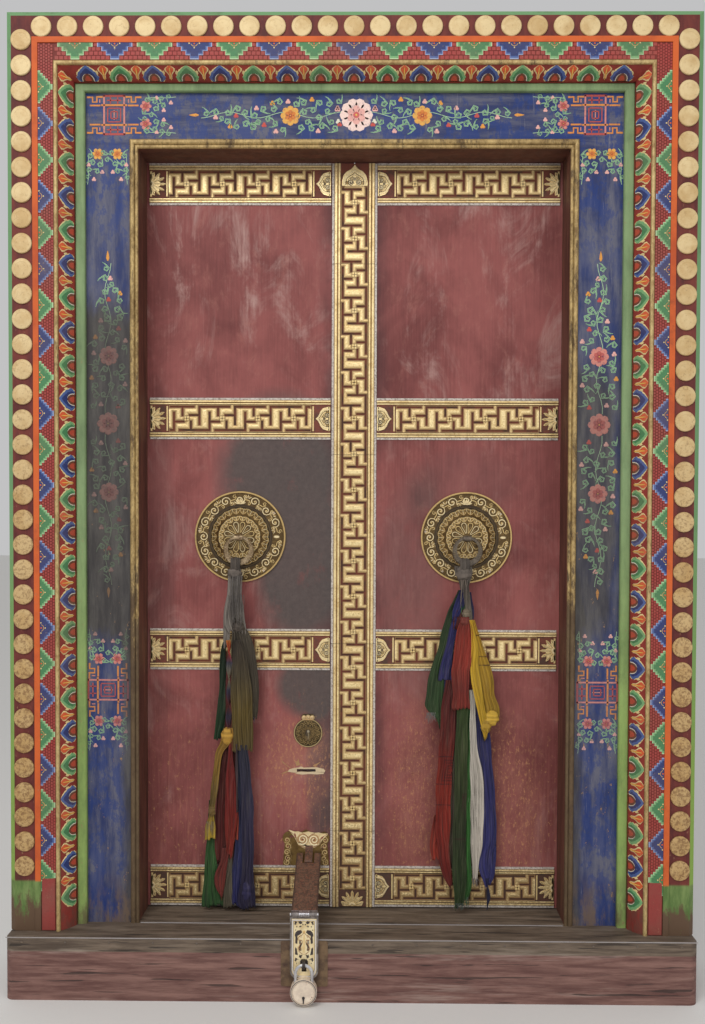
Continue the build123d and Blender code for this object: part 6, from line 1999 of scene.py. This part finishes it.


# Every cloth: side, name, its y, its pleats and their depth, its flat size in metres, a seed for its folds,
# the unevenness of its hem, its colours from the top down, and its outline as (v, left u, right u) in pixels
# of the photo, read from enlarged crops
SCARVES = (
    ("left", "grey_strand", -41, (3, 3), (0.04, 0.15), 2.1, 14,
     GREY,
     ((596, 227, 236), (610, 224.5, 233), (625, 223.5, 231), (638, 223.5, 230), (647, 224, 228.5))),
    ("left", "dark_green_scarf", -36, (3, 4), (0.04, 0.285), 0.3, 8,
     DEEP_GREEN,
     ((640, 224, 229), (650, 221, 226), (672, 220, 226), (693, 218.7, 225.7), (718, 216, 225),
      (738, 214, 222.5))),
    ("left", "low_green_scarf", -38, (3, 4.5), (0.06, 0.31), 1.7, 6,
     ((44, 66, 40), (58, 104, 50), (54, 92, 48)),
     ((800, 209, 215), (825, 208, 215), (847, 206, 216), (865, 205.4, 217), (888, 204, 221),
      (908, 203.4, 223.5), (911, 204, 224))),
    ("left", "dark_red_scarf", -41, (6, 5), (0.1, 0.39), 2.9, 12,
     DARK_RED,
     ((728, 226, 236), (745.5, 222, 237), (773.6, 218.8, 237.6), (800, 216, 237.6), (827, 215.5, 237.6),
      (848, 215.5, 235), (861, 218, 231))),
    ("left", "beige_scarf", -43, (3, 3.5), (0.035, 0.2), 0.8, 6,
     BEIGE,
     ((838, 229, 234), (865, 228, 232), (881, 223.5, 232), (894, 223, 232), (911, 223.5, 234))),
    ("left", "blue_scarf", -45, (3, 5), (0.045, 0.47), 4.2, 10,
     SLATE_BLUE,
     ((745, 237, 243), (774, 237.5, 243), (800, 237, 243.5), (825, 236, 243), (854, 234, 243.5),
      (881, 231.6, 243), (900, 231, 243), (915, 232.5, 244))),
    ("left", "brown_scarf", -45, (7, 6), (0.13, 0.295), 0.0, 12,
     BROWN,
     ((618, 233, 243), (627, 232, 246), (637, 232, 250.6), (650, 231.5, 254.4), (668, 231.5, 257.6),
      (693, 232, 259), (709, 235, 258.5), (720, 240, 256))),
    ("left", "grey_scarf", -47, (6, 5), (0.085, 0.18), 3.3, 16,
     GREY,
     ((572, 228, 241), (582, 228, 241), (594, 227, 242), (607, 225, 243.5), (618, 224, 244.5),
      (627, 225, 246), (634, 228, 246))),
    ("left", "twisted_scarf", -50, (2, 2.5), (0.03, 0.26), 0.4, 4,
     CORD_COLOURS,
     ((640, 226, 231), (650, 226, 232), (690, 226, 232), (715, 226, 232), (730, 226, 231))),
    ("left", "navy_scarf", -53, (4, 6), (0.065, 0.475), 1.1, 6,
     NAVY,
     ((745, 240, 247), (751, 239.5, 247.6), (774, 240, 250), (800, 241, 253), (825, 241, 253.7),
      (854, 242, 253.7), (881, 241.5, 253), (894, 240, 253.7), (910, 238, 255.3), (918, 241, 255.7))),
    ("left", "olive_scarf", -53, (5, 6), (0.105, 0.32), 2.4, 8,
     OLIVE,
     ((640, 234, 241), (655, 233, 246), (672, 232, 250), (693, 231.5, 252), (717, 231.5, 252.5),
      (740, 231.5, 252.5), (751, 232.6, 252.3))),
    ("left", "orange_red_scarf", -48, (2, 4), (0.04, 0.15), 0.9, 8,
     ((128, 52, 44), (178, 70, 48)),
     ((790, 230, 236), (806, 229.5, 237), (820, 229, 238), (841, 231, 237.5))),
    ("left", "bright_red_scarf", -53, (3, 5), (0.05, 0.35), 3.8, 14,
     ((128, 38, 36), (140, 38, 34), (156, 50, 36)),
     ((735, 229, 233), (753.5, 228, 233), (773.6, 226, 235), (795, 224.5, 236), (815, 225, 236.5),
      (836, 225.5, 235), (856, 226.5, 231.5))),
    ("left", "low_red_scarf", -50, (3, 5), (0.055, 0.14), 5.1, 12,
     ((120, 48, 42), (150, 66, 56)),
     ((848, 222, 230), (862, 220, 228), (874, 215, 226.5), (885, 215.5, 224.5), (896, 219.5, 222.5))),
    ("left", "yellow_scarf", -55, (2, 3), (0.04, 0.325), 1.4, 5,
     ((168, 122, 46), (172, 132, 52), (120, 96, 48), (216, 180, 62)),
     ((728, 224, 232), (736, 222, 232.5), (744, 220, 229), (753.5, 215.5, 222), (773.6, 212.8, 219.5),
      (800, 210, 216), (808, 208.5, 215), (817, 209, 214), (825, 206, 214.8), (839, 205.4, 214.8))),
    ("left", "thin_strand", -56, (1, 1.5), (0.015, 0.2), 0.2, 2,
     ((92, 76, 78), (78, 62, 66)),
     ((744, 235.5, 237.5), (760, 236, 238), (790, 236.3, 238), (812, 236.5, 238))),
    ("right", "navy_scarf", -40, (3, 4.5), (0.065, 0.57), 1.9, 10,
     BLUE,
     ((690, 473, 479), (708, 474, 482), (729, 476.3, 489.5), (758.6, 479, 491.7), (788, 482, 494),
      (817, 483.6, 495.4), (839, 483, 496), (854, 479, 496), (868, 479.5, 495), (877, 482.5, 494),
      (886, 486, 490))),
    ("right", "navy_tail", -40, (1, 2), (0.015, 0.09), 0.6, 3,
     ((40, 40, 76), (60, 58, 84)),
     ((880, 486, 490), (890, 486, 489.3), (900, 486.5, 490), (914, 485.8, 488))),
    ("right", "beige_scarf", -38, (2, 3), (0.03, 0.37), 0.1, 5,
     BEIGE,
     ((740, 451, 457), (758, 450.3, 456), (800, 450, 455.5), (840, 449.5, 455), (867, 450, 453.5))),
    ("right", "red_lobe", -41, (2, 4), (0.05, 0.13), 2.6, 8,
     ((140, 50, 40), (178, 60, 42)),
     ((815, 435, 444), (835, 432, 442), (847, 430.6, 440.5), (860, 432.5, 440))),
    ("right", "white_scarf", -43, (3, 3.5), (0.055, 0.555), 3.6, 6,
     WHITE_CLOTH,
     ((690, 468, 474), (704, 468, 475.6), (744, 468, 477), (773, 468, 481.4), (795, 468, 483.6),
      (832, 468.5, 482.4), (847, 470, 481.6), (861, 472, 479), (880, 472.5, 477.5))),
    ("right", "crumpled_yellow_scarf", -43, (5, 5), (0.06, 0.135), 0.5, 16,
     ((150, 118, 40), (170, 136, 44), (130, 100, 38)),
     ((690, 481, 489), (705, 481, 492), (718, 481.5, 493.5), (729, 482.5, 491), (736, 483, 487.5))),
    ("right", "bright_green_fold", -45, (2, 3), (0.03, 0.61), 1.2, 8,
     ((52, 84, 44), (58, 126, 52), (54, 110, 46)),
     ((690, 463, 469), (740, 464, 469.5), (781, 464, 469.7), (832, 464.5, 469.8), (870, 464.6, 470.6),
      (888, 464, 470.8), (899, 463, 468))),
    ("right", "long_red_scarf", -47, (3, 4), (0.065, 0.595), 0.7, 12,
     ((92, 32, 30), (112, 36, 30), (158, 46, 30), (150, 42, 30), (106, 30, 26)),
     ((680, 446, 457), (700, 443, 456), (714.7, 441, 455), (744, 439, 453.6), (766, 438.2, 452.4),
      (782, 436.7, 451), (802.6, 435.6, 450), (832, 436, 449.2), (847, 438, 449.3), (861, 439.7, 450.3),
      (876, 444, 452), (885, 449, 452.9))),
    ("right", "green_scarf", -42, (5, 6), (0.075, 0.38), 4.4, 26,
     ((44, 58, 40), (58, 84, 46), (54, 80, 44)),
     ((590, 459, 464), (600, 454, 461), (610.6, 448, 456), (622.7, 444.4, 453.5), (635, 440.7, 450.4),
      (647, 438.3, 448), (659, 434, 446), (671, 430.5, 444.5), (683, 427.5, 444.5), (695, 426.2, 444.4),
      (707, 425.6, 443), (716, 431, 441.5), (721, 436.5, 440.5))),
    ("right", "blue_end", -43, (2, 3), (0.04, 0.075), 2.2, 4,
     BLUE,
     ((668, 444, 450), (682, 443, 450.4), (693, 443.5, 450.2))),
    ("right", "navy_end", -43, (2, 3), (0.025, 0.08), 1.5, 6,
     ((48, 46, 84), (52, 50, 90)),
     ((592, 467, 471), (601, 468.5, 472), (610, 469, 473.4), (620, 469.5, 473.4))),
    ("right", "small_green_scarf", -46, (2, 3), (0.03, 0.065), 0.4, 6,
     ((60, 84, 56), (58, 116, 54)),
     ((598, 463, 467), (604.5, 461.3, 467.5), (612, 461, 468), (621, 461.5, 468))),
    ("right", "broad_yellow_scarf", -47, (4, 5.5), (0.065, 0.29), 2.7, 18,
     YELLOW_CLOTH,
     ((620, 470, 474.5), (628.7, 471.5, 477), (641, 473, 481.3), (656.6, 475.5, 486.8),
      (671, 478, 491.6), (683, 480, 494), (695, 482, 494.5), (708, 484.5, 499), (720, 486, 498))),
    ("right", "long_blue_scarf", -47, (3, 4), (0.045, 0.18), 3.1, 5,
     ((46, 44, 100), (52, 50, 106)),
     ((618, 453, 459), (628.7, 449.8, 457.7), (640.8, 446.8, 455.3), (656.6, 442.6, 452.8),
      (671, 439.5, 452), (681, 437.7, 452))),
    ("right", "long_green_scarf", -51, (3, 4.5), (0.065, 0.63), 2.0, 14,
     ((60, 84, 36), (64, 76, 38), (50, 60, 32), (54, 78, 36)),
     ((690, 458, 468), (709, 457.2, 468.5), (744, 455.8, 468), (788, 455, 466.5), (832, 453.6, 465.5),
      (861, 452.9, 466), (883, 453, 467), (897, 454, 466), (912, 455.5, 463))),
    ("right", "blue_scarf", -50, (3, 3.5), (0.04, 0.08), 0.9, 12,
     ((42, 42, 96), (52, 52, 118)),
     ((590, 460, 465), (596, 457.7, 465.6), (604.5, 454.7, 463.8), (612, 453, 460), (618, 452.5, 457.7))),
    ("right", "upper_red_scarf", -49, (3, 3.5), (0.05, 0.05), 1.3, 6,
     DARK_RED,
     ((610, 457, 464), (615.4, 455, 464), (621, 453.5, 463.5), (628, 453.5, 463))),
    ("right", "yellow_scarf", -54, (3, 4.5), (0.04, 0.34), 0.2, 6,
     BRIGHT_YELLOW,
     ((620, 469, 472.5), (628.7, 470.4, 474), (647, 471.6, 478.3), (665, 469.8, 479),
      (683, 471.6, 481.3), (707.5, 476.5, 484.6), (725.6, 481.3, 486.8), (738, 484.8, 486.4))),
    ("right", "red_scarf", -55, (5, 5), (0.09, 0.265), 1.6, 5,
     ((140, 56, 46), (172, 62, 48), (170, 60, 46), (134, 48, 40), (152, 58, 46)),
     ((617, 461, 469), (622, 460, 470), (628.7, 457.5, 471.6), (641, 455.3, 472.2), (653, 453.5, 472),
      (665, 452.3, 471), (671, 451.5, 469.2), (683, 452, 469), (695, 452.9, 469.2), (704, 452, 469.8),
      (709, 452.3, 469.2))),
    ("right", "grey_scarf", -49, (5, 4.5), (0.055, 0.165), 2.8, 10,
     ((118, 108, 98), (110, 100, 90), (140, 130, 112)),
     ((566, 455, 471), (573, 456, 472), (580, 459, 470.5), (586, 460, 469), (591, 461, 470),
      (598, 463.5, 470.5), (605, 464.5, 471), (614, 465.5, 472), (623, 467, 472))),
)
RING_LOOPS = (("left", -336, (104, 94, 86)), ("right", 322, (110, 100, 92)))
RING_LOOP_PATH = ((1160, -40), (1172, -34.5), (1183, -31.6), (1196, -31.4), (1203.5, -37), (1206.5, -45),
                  (1203.5, -53),
                  (1196, -58.6), (1183, -58.4), (1172, -55.5), (1160, -50))
KNOTS = (
    ("left", "ring_knot", (-340, -46, 1163), (21, 14, 17), 9, (112, 102, 94), 1),
    ("left", "brown_knot", (-330, -47, 1008), (17, 10, 15), 6, (84, 74, 66), 2),
    ("left", "yellow_knot", (-361, -53, 692), (16, 9, 25), 7, (186, 142, 58), 3),
    ("left", "yellow_tie", (-404, -54, 474), (10, 7, 16), 7, (112, 88, 44), 4),
    ("right", "ring_knot", (318, -46, 1164), (23, 14, 22), 9, (108, 98, 90), 5),
    ("right", "tie_knot", (326, -50, 1048), (12, 9, 15), 7, (122, 108, 90), 6),
    ("right", "red_tie", (322, -53, 1028), (14, 8, 13), 6, (116, 52, 44), 7),
    ("right", "yellow_bunch", (402, -50, 748), (19, 9, 22), 7, (204, 164, 60), 8),
    ("right", "lower_yellow_bunch", (384, -49, 726), (15, 8, 24), 9, (170, 134, 46), 9),
    ("left", "navy_fold", (-303, -51, 240), (14, 7, 30), 7, (52, 48, 82), 11),
)
FRAYED_HEMS = (
    ("right", "green_threads", -51, 206, 297, 322, 22, 16, (60, 96, 52), 1),
    ("left", "pale_strands", -57, 1152, -353, -317, 168, 15, (190, 180, 170), 3),
    ("left", "grey_strands", -56, 1096, -357, -310, 104, 13, (150, 142, 134), 4),
    ("right", "brown_strands", -56, 1142, 308, 330, 84, 9, (142, 126, 110), 5),
    ("right", "bright_green_threads", -45, 222, 322, 338, 34, 12, (60, 120, 54), 2),
    ("right", "white_threads", -43, 276, 349, 366, 26, 12, (150, 140, 124), 3),
    ("right", "torn_green_threads", -44, 758, 214, 240, 34, 16, (150, 146, 130), 4),
    ("left", "brown_threads", -47, 742, -322, -282, 20, 14, (60, 54, 62), 5),
    ("left", "yellow_tassel", -55, 440, -421, -398, 46, 22, (214, 178, 66), 6),
)
for side, middle, colour in RING_LOOPS:
    hang(side, "ring_loop", [(z, y, middle - 13, middle + 13) for z, y in RING_LOOP_PATH], (3, 1.2),
         (colour, colour), 0.5, 0)
for place in KNOTS:
    tied_knot(*place)
for place in FRAYED_HEMS:
    frayed(*place)
for side, name, depth, folds, cut, seed, ragged, tones, outline in SCARVES:
    hang(side, name, seen_rows(outline, depth, ragged), folds, tones, seed, ragged)


# Floor and light

def add_floor():
    """A plain pale floor."""
    mesh = bpy.data.meshes.new("floor")
    reach = 30.0
    corners = ((-reach, -reach), (reach, -reach), (reach, reach), (-reach, reach))
    mesh.from_pydata([(x, y, 0.0) for x, y in corners], [], [(0, 1, 2, 3)])
    floor = bpy.data.objects.new("floor", mesh)
    bpy.context.scene.collection.objects.link(floor)
    f = Finish("floor")
    f.colour = rgb(226, 224, 220)
    mesh.materials.append(f.finish(0.8))


def add_lights():
    """Soft light from the front and above, and an even sky."""
    scene = bpy.context.scene
    scene.view_settings.view_transform = "Standard"
    world = bpy.data.worlds.new("studio")
    scene.world = world
    world.use_nodes = True
    world.node_tree.nodes["Background"].inputs["Color"].default_value = (0.97, 0.97, 0.98, 1.0)
    world.node_tree.nodes["Background"].inputs["Strength"].default_value = 0.55
    for name, place, size, power, aim in (
            ("key_light", (-1.5, -4.1, 4.3), 2.6, 130, (0, 0, 1.2)),
            ("fill_light", (3.0, -4.6, 2.0), 3.0, 45, (0, 0, 1.2))):
        data = bpy.data.lights.new(name, "AREA")
        data.shape = "SQUARE"
        data.size = size
        data.energy = power
        lamp = bpy.data.objects.new(name, data)
        scene.collection.objects.link(lamp)
        lamp.location = place
        lamp.rotation_euler = (Vector(aim) - Vector(place)).to_track_quat("-Z", "Y").to_euler()


add_floor()
add_lights()
